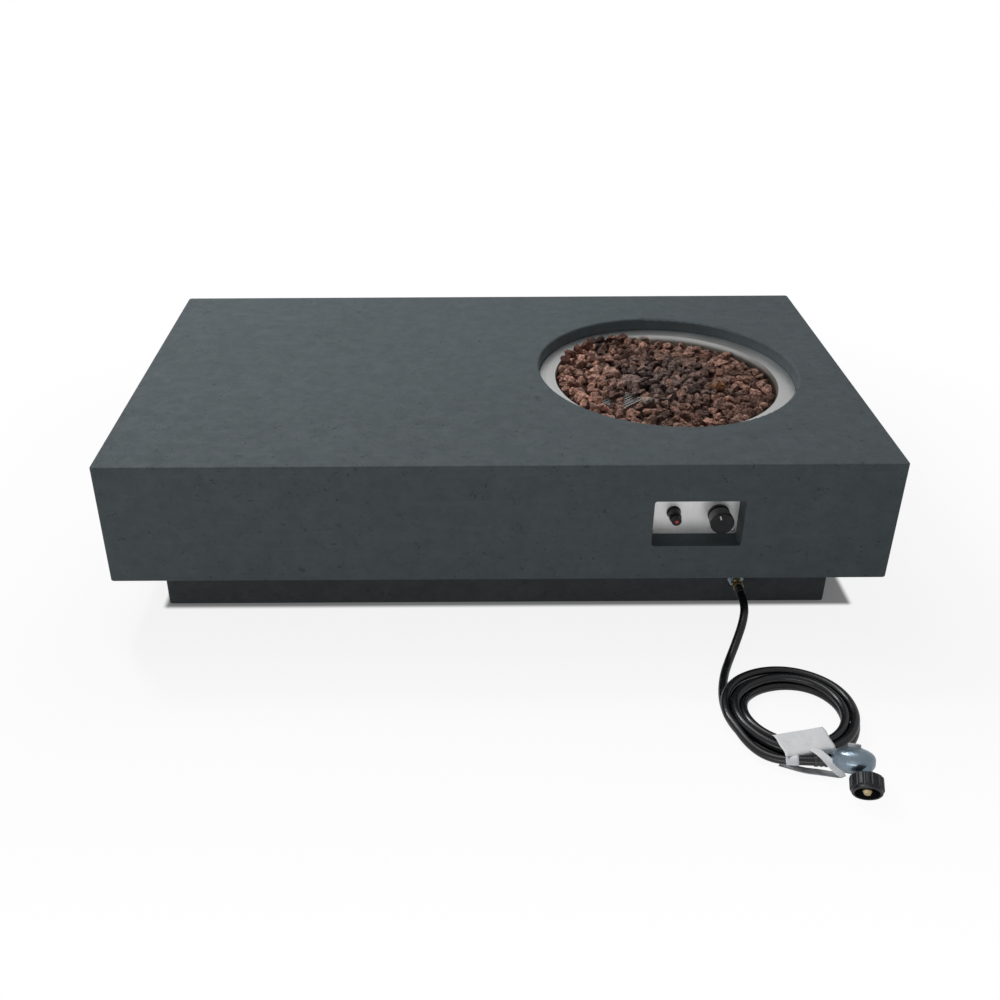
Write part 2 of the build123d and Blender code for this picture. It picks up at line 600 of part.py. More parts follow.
def regulator():
    """Low-pressure regulator: leaning lens-shaped housing, outlet to the hose, neck and hand wheel."""
    disc = Plane(origin=REGULATOR_CENTRE, z_dir=REGULATOR_LEAN)
    nut_axis = Plane(origin=NUT_FRONT, z_dir=-Vector(*NUT_LINE))
    edge, seam, rim = REGULATOR_RADIUS, SEAM_HEIGHT, 1.5
    casting = turned(disc, [
        (0, seam), (edge, seam), *dome(seam - rim, rim - CASTING_DEPTH), (12, -CASTING_DEPTH), (0, -CASTING_DEPTH),
    ])
    collar_end = FERRULE_LENGTH + 6
    bosses = rod(hose_end(), 7.6, FERRULE_LENGTH, collar_end + 1) + rod(hose_end(), 8.8, collar_end, 52)
    neck_start = NUT_LENGTH - NUT_BACK_PLATE - 1.3
    bosses += turned(nut_axis, [
        (0, neck_start), (8, neck_start), (8, NUT_LENGTH + 6), (10.5, NUT_LENGTH + 15), (10.5, 50), (0, 50),
    ])
    casting += bosses - rod(disc, edge + 20, seam, 40)
    bonnet = turned(disc, [
        (0, seam), (edge, seam), *dome(seam + rim, BONNET_HEIGHT - seam - rim), (12, BONNET_HEIGHT),
        (0, BONNET_HEIGHT),
    ])
    wheel = turned(nut_axis, [
        (19.0, 0), (NUT_COLLAR_RADIUS - 1, 0), (NUT_COLLAR_RADIUS, 1), (NUT_COLLAR_RADIUS, 4),
        (NUT_RADIUS - 1, 5), (NUT_RADIUS, 6.5), (NUT_RADIUS, NUT_LENGTH - 2), (NUT_RADIUS - 3, NUT_LENGTH),
        (8.6, NUT_LENGTH), (8.6, NUT_LENGTH - NUT_BACK_PLATE), (19.0, NUT_LENGTH - NUT_BACK_PLATE),
    ])
    groove_at = NUT_RADIUS + 1.6
    for step in range(NUT_GROOVES):
        angle = math.tau * step / NUT_GROOVES
        place = Pos(groove_at * math.cos(angle), groove_at * math.sin(angle), NUT_LENGTH / 2 + 4.5)
        wheel -= nut_axis.location * place * Cylinder(3.1, NUT_LENGTH)
    nipple = turned(nut_axis, [
        (0, -1), (4.5, -1), (NIPPLE_RADIUS, 3), (NIPPLE_RADIUS, neck_start - 4.2), (11.5, neck_start - 4.2),
        (11.5, neck_start), (0, neck_start),
    ])
    cap_end = BONNET_HEIGHT + 5.2
    return {
        "regulator_body": casting,
        "regulator_bonnet": bonnet,
        "regulator_vent_cap": turned(disc, [
            (0, BONNET_HEIGHT), (10, BONNET_HEIGHT), (10, cap_end - 1), (9, cap_end), (0, cap_end),
        ]),
        "coupling_nut": wheel,
        "coupling_nipple": nipple,
    }


def hose():
    """The rubber hose with its end fittings, its label band and its blank tag."""
    axis = facing_front(INLET_X, INLET_Z)
    nut_start = PLINTH_FACE + 21
    flare = hex_nut(axis, 19, 1.0, nut_start, nut_start + 6) + sleeve(axis, 1.0, 9.5, nut_start + 6, nut_start + 17)
    loose = hose_line("hose_tube", HOSE_ROUTE)
    tail_line = hose_line("hose_tail", TAIL_ROUTE)

    coil_plane = Plane(origin=(*COIL_CENTRE, 0))
    coil = turned(coil_plane, [
        (COIL_INNER + 5, 0.2), (COIL_OUTER - 5, 0.2), (COIL_OUTER, 5), (COIL_OUTER, COIL_TOP - 8),
        (COIL_OUTER - 8, COIL_TOP), (COIL_INNER + 8, COIL_TOP), (COIL_INNER, COIL_TOP - 8), (COIL_INNER, 5),
    ])
    band_at = tail_line @ BAND_AT
    band_plane = Plane(origin=band_at, z_dir=tail_line % BAND_AT)
    band = sleeve(band_plane, HOSE_RADIUS - 0.4, HOSE_RADIUS + 0.6, -BAND_LENGTH / 2, BAND_LENGTH / 2)

    gap, skin = 0.4, 0.9
    outer, inner, top = COIL_OUTER + gap, COIL_INNER - gap, COIL_TOP + gap
    wrap = Polyline(
        (outer - 3, 0, top - 5), (outer - 8, 0, top), (inner + 8, 0, top), (inner, 0, top - 8), (inner, 0, 8),
        (inner - skin, 0, 8), (inner - skin, 0, top - 8 + skin / 2), (inner + 8 - skin / 2, 0, top + skin),
        (outer - 8 + skin / 2, 0, top + skin), (outer - 3 + skin, 0, top - 5 + skin / 2), close=True)
    start, span = 250.0, 34.0
    tag = coil_plane.location * Rot(0, 0, start) * revolve(make_face(wrap), Axis.Z, span)
    flap = Polyline((474, -772), (498, -789), (530, -806), (536, -803), (515, -789), (498, -773), close=True)
    tag = Compound([tag, Pos(0, 0, 0.2) * extrude(make_face(flap), skin)])
    return {
        "inlet_flare_nut": flare,
        "hose_ferrule_inlet": rod(axis, 8.6, nut_start + 17, HOSE_START),
        "hose_tube": swept(loose, HOSE_RADIUS),
        "hose_coil": coil,
        "hose_tail": swept(tail_line, HOSE_RADIUS),
        "hose_label_band": band,
        "hose_tag": tag,
        "hose_ferrule_regulator": rod(hose_end(), 8.8, 0, FERRULE_LENGTH),
    }


def main():
    """Build every sub-part and write one STEP file for each."""
    os.makedirs("parts", exist_ok=True)
    parts = {
        **concrete_shell(), **base(), "burner_pan": burner_pan(), **burner(), **pilot(), **stones(),
        **control_panel(), **gas_valve(), **igniter(), **gas_lines(), **hose(), **regulator(),
    }
    for name, shape in parts.items():
        export_step(shape, f"parts/{name}.step")


main()
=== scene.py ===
import json
import logging
import math
from dataclasses import dataclass, field
from enum import Enum
from typing import Callable, Iterable, Sequence, Union

import bmesh
import bpy
import numpy as np
from mathutils import Euler, Matrix, Quaternion, Vector, noise

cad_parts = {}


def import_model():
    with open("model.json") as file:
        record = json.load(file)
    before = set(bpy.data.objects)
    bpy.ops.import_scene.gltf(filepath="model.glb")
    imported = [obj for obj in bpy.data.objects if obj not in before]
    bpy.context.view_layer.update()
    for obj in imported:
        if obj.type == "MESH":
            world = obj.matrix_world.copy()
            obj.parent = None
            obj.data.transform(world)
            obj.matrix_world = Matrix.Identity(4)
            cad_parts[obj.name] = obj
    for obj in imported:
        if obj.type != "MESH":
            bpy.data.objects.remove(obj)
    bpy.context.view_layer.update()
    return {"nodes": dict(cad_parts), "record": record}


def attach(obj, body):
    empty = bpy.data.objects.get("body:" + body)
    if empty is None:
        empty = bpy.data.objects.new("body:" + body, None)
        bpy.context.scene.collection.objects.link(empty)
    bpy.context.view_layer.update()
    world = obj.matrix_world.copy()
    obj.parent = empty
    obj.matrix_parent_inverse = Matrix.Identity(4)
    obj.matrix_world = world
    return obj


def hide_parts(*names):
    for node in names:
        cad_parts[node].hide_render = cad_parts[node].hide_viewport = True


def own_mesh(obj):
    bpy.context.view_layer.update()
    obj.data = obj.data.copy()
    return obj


log = logging.getLogger("fire_table")

Rgb = tuple[float, float, float]
Point = tuple[float, float, float]
Socket = bpy.types.NodeSocket
Value = Union[Socket, float, Sequence[float]]
Form = tuple[np.ndarray, list[tuple[int, ...]]]

TABLE = "table"
WELL = Vector((0.3555, 0.0, 0.0))
CAMERA_AT = Vector((-0.0677, -2.0366, 1.2821))
FRONTWARDS = Vector((0, -1, 0))
# What the darker band low on the pan's bowl wall keeps of red, green and blue
DARK_BAND_KEEPS = (0.16, 0.14, 0.11)


def srgb(red: float, green: float, blue: float) -> Rgb:
    """Returns the linear colour of three 0 to 255 screen values."""
    shares = (value / 255 for value in (red, green, blue))
    return tuple(((share + 0.055) / 1.055) ** 2.4 if share > 0.04 else share / 12.92 for share in shares)


def scaled(tone: Rgb, factor: float) -> Rgb:
    """Returns a colour made darker or lighter by a factor."""
    return tuple(min(1.0, channel * factor) for channel in tone)


# ---------------------------------------------------------------- materials


class Graph:
    """The node tree of one material while it is being wired."""

    def __init__(self, name: str) -> None:
        """Starts a material whose output is fed by one principled shader.

        Args:
            name: The material's name.
        """
        self.material = bpy.data.materials.new(name)
        self.material.use_nodes = True
        self.tree = self.material.node_tree
        self.tree.nodes.clear()
        self.surface = self.tree.nodes.new("ShaderNodeOutputMaterial").inputs["Surface"]
        self.shader = self.tree.nodes.new("ShaderNodeBsdfPrincipled")
        self.tree.links.new(self.shader.outputs[0], self.surface)
        self.place = self.add("ShaderNodeTexCoord", {}, "Object")

    def add(self, kind: str, inputs: dict, output: Union[int, str] = 0, **settings) -> Socket:
        """Adds a node and feeds its inputs.

        Args:
            kind: The node's type name.
            inputs: Values or sockets by input name or number.
            output: The output that is wanted.
            settings: Properties set on the node itself.

        Returns:
            The wanted output socket.
        """
        node = self.tree.nodes.new(kind)
        for key, value in settings.items():
            setattr(node, key, value)
        for key, value in inputs.items():
            self.feed(node.inputs[key], value)
        return node.outputs[output]

    def feed(self, socket: Socket, value: Value) -> None:
        """Links a socket to an input, or sets the input's own value.

        Args:
            socket: The input.
            value: What feeds it.
        """
        if isinstance(value, bpy.types.NodeSocket):
            self.tree.links.new(value, socket)
        elif socket.type == "RGBA" and len(value) == 3:
            socket.default_value = (*value, 1.0)
        else:
            socket.default_value = value

    def stretched(self, scale: Point) -> Socket:
        """Returns object coordinates scaled apart along the three axes."""
        return self.add("ShaderNodeMapping", {"Vector": self.place, "Scale": scale})

    def warped(self, amount: float, scale: float) -> Socket:
        """Returns object coordinates shaken by a noise in all three directions."""
        shake = self.add("ShaderNodeTexNoise", {"Vector": self.place, "Scale": scale}, "Color")
        return self.mix(amount, self.place, shake, "ADD")

    def around(self, centre: Vector, fineness: float) -> Socket:
        """Returns coordinates that run in circles about an upright axis.

        Args:
            centre: A point on the axis.
            fineness: How many units one metre of radius is worth.

        Returns:
            The coordinates.
        """
        moved = self.add("ShaderNodeMapping", {"Vector": self.place, "Location": -centre})
        x, y, z = (self.add("ShaderNodeSeparateXYZ", {0: moved}, axis) for axis in "XYZ")
        line = self.times(self.math("ADD", self.from_axis(centre), z), fineness)
        return self.add("ShaderNodeCombineXYZ", {0: line, 1: self.times(x, 3.0), 2: self.times(y, 3.0)})

    def from_axis(self, centre: Vector) -> Socket:
        """Returns the distance from an upright axis through a point."""
        moved = self.add("ShaderNodeMapping", {"Vector": self.place, "Location": -centre})
        return self.length(self.vector("MULTIPLY", moved, (1.0, 1.0, 0.0)))

    def noise(self, scale: float, detail: float = 3.0, roughness: float = 0.5,
              vector: Value = None, distortion: float = 0.0) -> Socket:
        """Adds a fractal noise.

        Args:
            scale: How fine it is: features to a metre.
            detail: How many finer layers it has.
            roughness: How much the finer layers count.
            vector: Its coordinates, if not the object's own.
            distortion: How far it is pulled out of shape.

        Returns:
            Its grey value.
        """
        return self.add("ShaderNodeTexNoise", {
            "Vector": vector or self.place, "Scale": scale, "Detail": detail,
            "Roughness": roughness, "Distortion": distortion})

    def cells(self, scale: float, vector: Value = None, output: str = "Distance") -> Socket:
        """Returns a distance or a random colour per cell of a Voronoi pattern."""
        return self.add("ShaderNodeTexVoronoi", {"Vector": vector or self.place, "Scale": scale}, output)

    def random(self, scale: float, vector: Value, channel: int) -> Socket:
        """Returns a random value per cell of a Voronoi pattern."""
        return self.add("ShaderNodeSeparateColor", {0: self.cells(scale, vector, "Color")}, channel)

    def math(self, operation: str, a: Value, b: Value = 0.0) -> Socket:
        """Returns one arithmetic step on two values."""
        return self.add("ShaderNodeMath", {0: a, 1: b}, operation=operation)

    def times(self, a: Value, b: Value) -> Socket:
        """Returns the product of two values."""
        return self.math("MULTIPLY", a, b)

    def vector(self, operation: str, a: Value, b: Value = (0.0, 0.0, 0.0)) -> Socket:
        """Returns one arithmetic step on two vectors."""
        return self.add("ShaderNodeVectorMath", {0: a, 1: b}, operation=operation)

    def length(self, vector: Value) -> Socket:
        """Returns the length of a vector."""
        return self.add("ShaderNodeVectorMath", {0: vector}, "Value", operation="LENGTH")

    def ray(self, kind: str) -> Socket:
        """Returns 1 for light rays of one kind and 0 for others."""
        return self.add("ShaderNodeLightPath", {}, f"Is {kind} Ray")

    def span(self, value: Value, low: float, high: float, start: float = 0.0, end: float = 1.0) -> Socket:
        """Eases a value from one range to another.

        Args:
            value: The value.
            low: Where the range begins.
            high: Where the range ends.
            start: What the beginning becomes.
            end: What the end becomes.

        Returns:
            The eased value.
        """
        return self.add("ShaderNodeMapRange", {
            "Value": value, "From Min": low, "From Max": high, "To Min": start, "To Max": end},
            interpolation_type="SMOOTHSTEP")

    def mix(self, factor: Value, a: Value, b: Value, blend: str = "MIX") -> Socket:
        """Returns a blend of two colours."""
        return self.add("ShaderNodeMix", {0: factor, 6: a, 7: b}, 2, data_type="RGBA", blend_type=blend)

    def shades(self, value: Value, tone: Rgb, low: float, high: float) -> Socket:
        """Returns a tone made darker or lighter by a grey value."""
        return self.mix(value, scaled(tone, low), scaled(tone, high))

    def bump(self, height: Value, depth: float, below: Socket = None, strength: float = 1.0) -> Socket:
        """Returns a normal raised by a height value.

        Args:
            height: The grey height.
            depth: Metres between its 0 and its 1.
            below: A normal that this one adds to.
            strength: How much of it shows.

        Returns:
            The raised normal.
        """
        inputs = {"Height": height, "Distance": depth, "Strength": strength}
        if below:
            inputs["Normal"] = below
        return self.add("ShaderNodeBump", inputs)

    def finish(self, **values: Value) -> bpy.types.Material:
        """Feeds the principled shader.

        Args:
            values: Its inputs by name, with underscores for spaces.

        Returns:
            The finished material.
        """
        for key, value in values.items():
            self.feed(self.shader.inputs[key.replace("_", " ")], value)
        return self.material


@dataclass(frozen=True)
class Concrete:
    """Matt cast concrete with pits, worm marks and trowel streaks."""

    tone: Rgb
    pit_depth: float = 0.0009

    def material(self, name: str) -> bpy.types.Material:
        """Wires clouds, mottling, trowel streaks and two kinds of pits.

        Args:
            name: The material's name.

        Returns:
            The new material.
        """
        g = Graph(name)
        clouds = g.noise(2.6, detail=5, roughness=0.62)
        mottle = g.noise(38, detail=7, roughness=0.7, distortion=0.4)
        grain = g.noise(310, detail=4, roughness=0.6)
        streaks = g.noise(5, detail=5, roughness=0.65, vector=g.stretched((1.0, 16.0, 16.0)))
        warp = g.warped(0.045, 55.0)
        fine_pits = g.times(g.span(g.cells(150, warp), 0.34, 0.12),
                            g.span(g.random(150, warp, 0), 0.80, 0.86))
        worm_place = g.add("ShaderNodeMapping", {
            "Vector": warp, "Rotation": (0.4, 0.3, 0.5), "Scale": (42.0, 95.0, 70.0)})
        worms = g.span(g.cells(1.0, worm_place), 0.30, 0.14)
        chosen = g.times(g.span(g.random(1.0, worm_place, 1), 0.86, 0.9),
                         g.span(g.noise(9, detail=2), 0.42, 0.58))
        pits = g.math("MAXIMUM", fine_pits, g.times(worms, chosen))
        colour = g.shades(clouds, self.tone, 0.86, 1.14)
        colour = g.mix(g.span(mottle, 0.3, 0.7, 0.0, 0.5), colour, scaled(self.tone, 0.82))
        colour = g.mix(g.span(streaks, 0.52, 0.72, 0.0, 0.35), colour, scaled(self.tone, 1.22))
        colour = g.mix(g.span(grain, 0.62, 0.78, 0.0, 0.5), colour, scaled(self.tone, 1.5))
        # The pits also darken the colour: painted shade inside them
        colour = g.mix(g.times(pits, 0.62), colour, scaled(self.tone, 0.42))
        normal = g.bump(g.math("SUBTRACT", 1.0, pits), self.pit_depth)
        normal = g.bump(mottle, 0.0007, normal, 0.8)
        normal = g.bump(grain, 0.0003, normal, 0.7)
        rough = g.span(mottle, 0.2, 0.8, 0.72, 0.92)
        return g.finish(Base_Color=colour, Roughness=rough, Normal=normal, Specular_IOR_Level=0.35)


@dataclass(frozen=True)
class LavaRock:
    """Porous lava, in one tone or, without one, in each stone's own tint."""

    tone: Union[Rgb, None] = None

    def material(self, name: str) -> bpy.types.Material:
        """Wires blotches, grit and pores over the tint.

        Args:
            name: The material's name.

        Returns:
            The new material.
        """
        g = Graph(name)
        own = self.tone or g.add("ShaderNodeAttribute", {}, "Color", attribute_name="tint")
        blotch = g.noise(85, detail=5, roughness=0.7)
        grit = g.noise(700, detail=4, roughness=0.7)
        warp = g.warped(0.006, 260.0)
        pore = g.span(g.cells(430, warp), 0.16, 0.5)
        pin_pore = g.span(g.cells(1100, warp), 0.1, 0.42)
        lift = g.mix(g.span(blotch, 0.38, 0.62), (0.55, 0.53, 0.53), (1.36, 1.30, 1.26))
        colour = g.mix(1.0, own, lift, "MULTIPLY")
        colour = g.mix(g.span(grit, 0.52, 0.72, 0.0, 0.45), colour, (0.42, 0.32, 0.29))
        shade = g.times(g.span(pore, 0.0, 1.0, 0.3, 1.0), g.span(pin_pore, 0.0, 1.0, 0.7, 1.0))
        grey = g.add("ShaderNodeCombineColor", {0: shade, 1: shade, 2: shade})
        colour = g.mix(1.0, colour, grey, "MULTIPLY")
        normal = g.bump(pore, 0.0016)
        normal = g.bump(pin_pore, 0.0006, normal)
        normal = g.bump(grit, 0.0005, normal)
        return g.finish(Base_Color=colour, Roughness=0.95, Normal=normal, Specular_IOR_Level=0.2)


class Brush(Enum):
    """The way in which a sheet was brushed."""

    ROUND_THE_WELL = "round"
    UPRIGHT = "upright"


@dataclass(frozen=True)
class BrushedMetal:
    """Sheet metal with fine parallel scratches."""

    tone: Rgb
    brush: Brush
    roughness: float = 0.3
    dents: float = 0.0
    darker_below: float = 0.0

    def material(self, name: str) -> bpy.types.Material:
        """Wires scratches, smudges, dents and the stain.

        Args:
            name: The material's name.

        Returns:
            The new material.
        """
        g = Graph(name)
        lines = {
            Brush.ROUND_THE_WELL: lambda: g.around(WELL, 1500.0),
            Brush.UPRIGHT: lambda: g.stretched((2600.0, 2600.0, 18.0)),
        }[self.brush]()
        scratch = g.noise(1.0, detail=4, roughness=0.6, vector=lines)
        smudge = g.noise(14, detail=4, roughness=0.6)
        colour = g.shades(scratch, self.tone, 0.86, 1.1)
        colour = g.mix(g.span(smudge, 0.45, 0.75, 0.0, 0.3), colour, scaled(self.tone, 0.82))
        # Darker below a height and outside a radius from the well's axis: a band low on the bowl wall
        if self.darker_below:
            height = g.add("ShaderNodeSeparateXYZ", {0: g.place}, "Z")
            dark_band = g.times(g.span(height, self.darker_below - 0.009, self.darker_below, 0.92, 0.0),
                            g.span(g.from_axis(WELL), 0.188, 0.194))
            colour = g.mix(dark_band, colour, tuple(c * left for c, left in zip(self.tone, DARK_BAND_KEEPS)))
        rough = g.math("ADD", g.span(scratch, 0.3, 0.7, self.roughness - 0.05, self.roughness + 0.07),
                       g.span(smudge, 0.4, 0.8, 0.0, 0.06))
        normal = g.bump(scratch, 0.00003, g.bump(g.noise(26, detail=2), self.dents), 0.7)
        return g.finish(Base_Color=colour, Metallic=1.0, Roughness=rough, Normal=normal)


@dataclass(frozen=True)
class CastMetal:
    """Die-cast or machined metal with a slightly uneven skin."""

    tone: Rgb
    roughness: float = 0.3
    ripple: float = 0.0002
    metallic: float = 1.0

    def material(self, name: str) -> bpy.types.Material:
        """Wires a rippled skin and tarnish.

        Args:
            name: The material's name.

        Returns:
            The new material.
        """
        g = Graph(name)
        skin = g.noise(130, detail=4, roughness=0.55)
        grain = g.noise(1400, roughness=0.6)
        tarnish = g.noise(48, detail=5, roughness=0.7)
        colour = g.shades(skin, self.tone, 0.88, 1.1)
        colour = g.mix(g.span(tarnish, 0.5, 0.75, 0.0, 0.45), colour, scaled(self.tone, 0.68))
        rough = g.span(tarnish, 0.3, 0.75, self.roughness * 0.8, self.roughness * 1.5)
        normal = g.bump(grain, 0.00004, g.bump(skin, self.ripple))
        return g.finish(Base_Color=colour, Metallic=self.metallic, Roughness=rough, Normal=normal)


@dataclass(frozen=True)
class Moulded:
    """Moulded plastic, rubber, paint or glaze: a coloured skin with a fine grain."""

    tone: Rgb
    roughness: float = 0.45
    grain: float = 0.00006
    grain_scale: float = 1300.0
    dust: float = 0.12
    coat: float = 0.0
    gloss: float = 0.5

    def material(self, name: str) -> bpy.types.Material:
        """Wires a fine grain and a little dust.

        Args:
            name: The material's name.

        Returns:
            The new material.
        """
        g = Graph(name)
        grain = g.noise(self.grain_scale, roughness=0.6)
        wear = g.noise(60, detail=5, roughness=0.7)
        colour = g.shades(grain, self.tone, 0.8, 1.2)
        colour = g.mix(g.span(wear, 0.5, 0.8, 0.0, self.dust), colour, (0.32, 0.31, 0.30))
        rough = g.span(wear, 0.3, 0.8, self.roughness * 0.85, min(1.0, self.roughness * 1.3))
        return g.finish(Base_Color=colour, Roughness=rough, Specular_IOR_Level=self.gloss,
                        Coat_Weight=self.coat, Coat_Roughness=0.12, Normal=g.bump(grain, self.grain))


@dataclass(frozen=True)
class CoatedPaper:
    """Tough white paper with faint fibres and creases."""

    tone: Rgb

    def material(self, name: str) -> bpy.types.Material:
        """Wires fibres and creases.

        Args:
            name: The material's name.

        Returns:
            The new material.
        """
        g = Graph(name)
        fibres = g.noise(240, detail=6, roughness=0.75)
        creases = g.span(g.cells(48, g.warped(0.02, 40.0)), 0.0, 0.7)
        colour = g.shades(fibres, self.tone, 0.93, 1.05)
        # The creases also darken the colour a little: painted shade in them
        colour = g.mix(g.span(creases, 0.0, 0.25, 0.18, 0.0), colour, scaled(self.tone, 0.8))
        normal = g.bump(fibres, 0.0001, g.bump(creases, 0.0008))
        return g.finish(Base_Color=colour, Roughness=0.55, Normal=normal, Subsurface_Weight=0.08,
                        Subsurface_Radius=(0.001, 0.001, 0.001))


FINISHES = {
    "cast_concrete": Concrete(srgb(78, 86, 89)),
    "base_concrete": Concrete(srgb(59, 63, 65)),
    "plated_steel": CastMetal((0.58, 0.59, 0.60), 0.32),
    "foot_rubber": Moulded((0.025, 0.025, 0.026), 0.75, grain=0.0001, grain_scale=900.0),
    "pan_steel": BrushedMetal((0.66, 0.67, 0.66), Brush.ROUND_THE_WELL, 0.33, dents=0.0007,
                              darker_below=0.3205),
    "brass": CastMetal((0.62, 0.51, 0.29), 0.34),
    "white_ceramic": Moulded((0.78, 0.77, 0.72), 0.2, 0.00003, 500.0, dust=0.08, coat=0.6),
    "lava": LavaRock(srgb(92, 68, 60)),
    "lava_stones": LavaRock(),
    "panel_steel": BrushedMetal((0.93, 0.94, 0.91), Brush.UPRIGHT, 0.42),
    "cast_alloy": CastMetal((0.50, 0.51, 0.52), 0.42, ripple=0.0003),
    "spring_steel": CastMetal((0.50, 0.50, 0.52), 0.25),
    "black_plastic": Moulded((0.008, 0.0085, 0.010), 0.42, dust=0.04, gloss=0.3),
    "white_line": Moulded((0.80, 0.80, 0.78), 0.4, dust=0.02),
    "red_dot": Moulded((0.55, 0.03, 0.03), 0.25, coat=0.4, dust=0.02),
    "battery_case": Moulded((0.06, 0.06, 0.07), 0.3, coat=0.3),
    "zinc": CastMetal((0.26, 0.33, 0.39), 0.28, ripple=0.0008, metallic=0.8),
    "gas_tube": CastMetal((0.66, 0.66, 0.67), 0.3),
    "copper": CastMetal((0.70, 0.36, 0.22), 0.3),
    "wire_cover": Moulded((0.62, 0.60, 0.55), 0.55),
    "black_crimp": Moulded((0.02, 0.02, 0.022), 0.3, 0.00004, 700.0, dust=0.1, coat=0.3),
    "hose_rubber": Moulded((0.0065, 0.007, 0.009), 0.27, 0.00003, 300.0, dust=0.02),
    "blank_label": CoatedPaper((0.84, 0.86, 0.89)),
    "blank_tag": CoatedPaper((0.94, 0.95, 0.97)),
    "vent_plastic": Moulded((0.52, 0.53, 0.54), 0.4),
    "wheel_plastic": Moulded((0.010, 0.011, 0.015), 0.36, 0.00008, 800.0, dust=0.04, gloss=0.35),
}


class Palette:
    """Builds each finish once and hands it to the pieces."""

    def __init__(self) -> None:
        """Starts with no material built."""
        self.built: dict[str, bpy.types.Material] = {}

    def get(self, name: str) -> bpy.types.Material:
        """Builds a finish the first time it is asked for.

        Args:
            name: The finish's name.

        Returns:
            Its material.
        """
        if name not in self.built:
            self.built[name] = FINISHES[name].material(name)
        return self.built[name]

    def dress(self, piece: bpy.types.Object, name: str) -> None:
        """Gives a piece one finish all over."""
        piece.data.materials.clear()
        piece.data.materials.append(self.get(name))

    def settle(self, piece: bpy.types.Object, finish: str, body: str, *nodes: str, slot: str = None
               ) -> bpy.types.Object:
        """Dresses a piece, makes it ride with a body and lets it stand for some nodes.

        Args:
            piece: The piece, whose mesh is final.
            finish: The name of its finish.
            body: The body that it rides with.
            nodes: The nodes that it stands for.
            slot: The material slot that it belongs to, if it isn't named like the finish. Not used.

        Returns:
            The piece.
        """
        self.dress(piece, finish)
        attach(piece, body)
        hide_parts(*nodes)
        return piece


# ---------------------------------------------------------------- mesh code


def mesh_piece(name: str, points: Iterable[Point], faces: Iterable[Sequence[int]], smooth: bool = True
               ) -> bpy.types.Object:
    """Makes a mesh object from points and faces.

    Args:
        name: The piece's name.
        points: Corners in metres.
        faces: Corner numbers of each face.
        smooth: Whether its faces are shaded smooth.

    Returns:
        The new object, linked to the scene.
    """
    mesh = bpy.data.meshes.new(name)
    mesh.from_pydata([tuple(p) for p in points], [], [tuple(f) for f in faces])
    mesh.polygons.foreach_set("use_smooth", [smooth] * len(mesh.polygons))
    mesh.update()
    piece = bpy.data.objects.new(name, mesh)
    bpy.context.scene.collection.objects.link(piece)
    return piece


def crease(piece: bpy.types.Object, angle: float = 32.0) -> None:
    """Keeps sharp edges crisp, by marking them and splitting their shading.

    Args:
        piece: The piece whose mesh is marked.
        angle: Degrees from which an edge is sharp.
    """
    mesh = bmesh.new()
    mesh.from_mesh(piece.data)
    bmesh.ops.recalc_face_normals(mesh, faces=mesh.faces)
    for edge in mesh.edges:
        edge.smooth = len(edge.link_faces) == 2 and edge.calc_face_angle(0) < math.radians(angle)
    mesh.to_mesh(piece.data)
    mesh.free()


def tube_faces(rings: int, sides: int) -> list[tuple[int, ...]]:
    """Joins rings of corners into a tube.

    Args:
        rings: How many rings there are.
        sides: How many corners each ring has.

    Returns:
        Corner numbers of each face.
    """
    faces = []
    for i in range(rings - 1):
        for k in range(sides):
            j = (k + 1) % sides
            faces.append((i * sides + k, i * sides + j, (i + 1) * sides + j, (i + 1) * sides + k))
    return faces


def thicken(piece: bpy.types.Object, thickness: float, offset: float) -> None:
    """Gives a thin piece its thickness, on both sides of its skin at an offset of 0 and outside it at 1."""
    solid = piece.modifiers.new("thickness", "SOLIDIFY")
    solid.thickness, solid.offset = thickness, offset


def frame_along(origin: Vector, direction: Vector) -> Matrix:
    """Returns a placement whose Z runs along a direction."""
    turn = Vector((0, 0, 1)).rotation_difference(direction.normalized())
    return Matrix.Translation(origin) @ turn.to_matrix().to_4x4()


def lathe(name: str, place: Matrix, profile: Sequence[tuple[float, float]], steps: int = 64,
          shape: Callable[[float, float, float], float] = None) -> bpy.types.Object:
    """Turns a closed profile about an axis.

    Args:
        name: The piece's name.
        place: The placement of the axis, which is its Z.
        profile: Radius and height of each corner, in metres.
        steps: How many facets go round.
        shape: Changes a radius, from the radius, the angle and the height.

    Returns:
        The turned piece.
    """
    points, faces = [], []
    for step in range(steps):
        angle = math.tau * step / steps
        for radius, height in profile:
            r = shape(radius, angle, height) if shape else radius
            points.append(place @ Vector((r * math.cos(angle), r * math.sin(angle), height)))
    count = len(profile)
    for step in range(steps):
        after = (step + 1) % steps
        for i in range(count):
            j = (i + 1) % count
            faces.append((step * count + i, after * count + i, after * count + j, step * count + j))
    piece = mesh_piece(name, points, faces)
    clean = bmesh.new()
    clean.from_mesh(piece.data)
    bmesh.ops.remove_doubles(clean, verts=clean.verts, dist=1e-6)
    clean.to_mesh(piece.data)
    clean.free()
    crease(piece)
    return piece


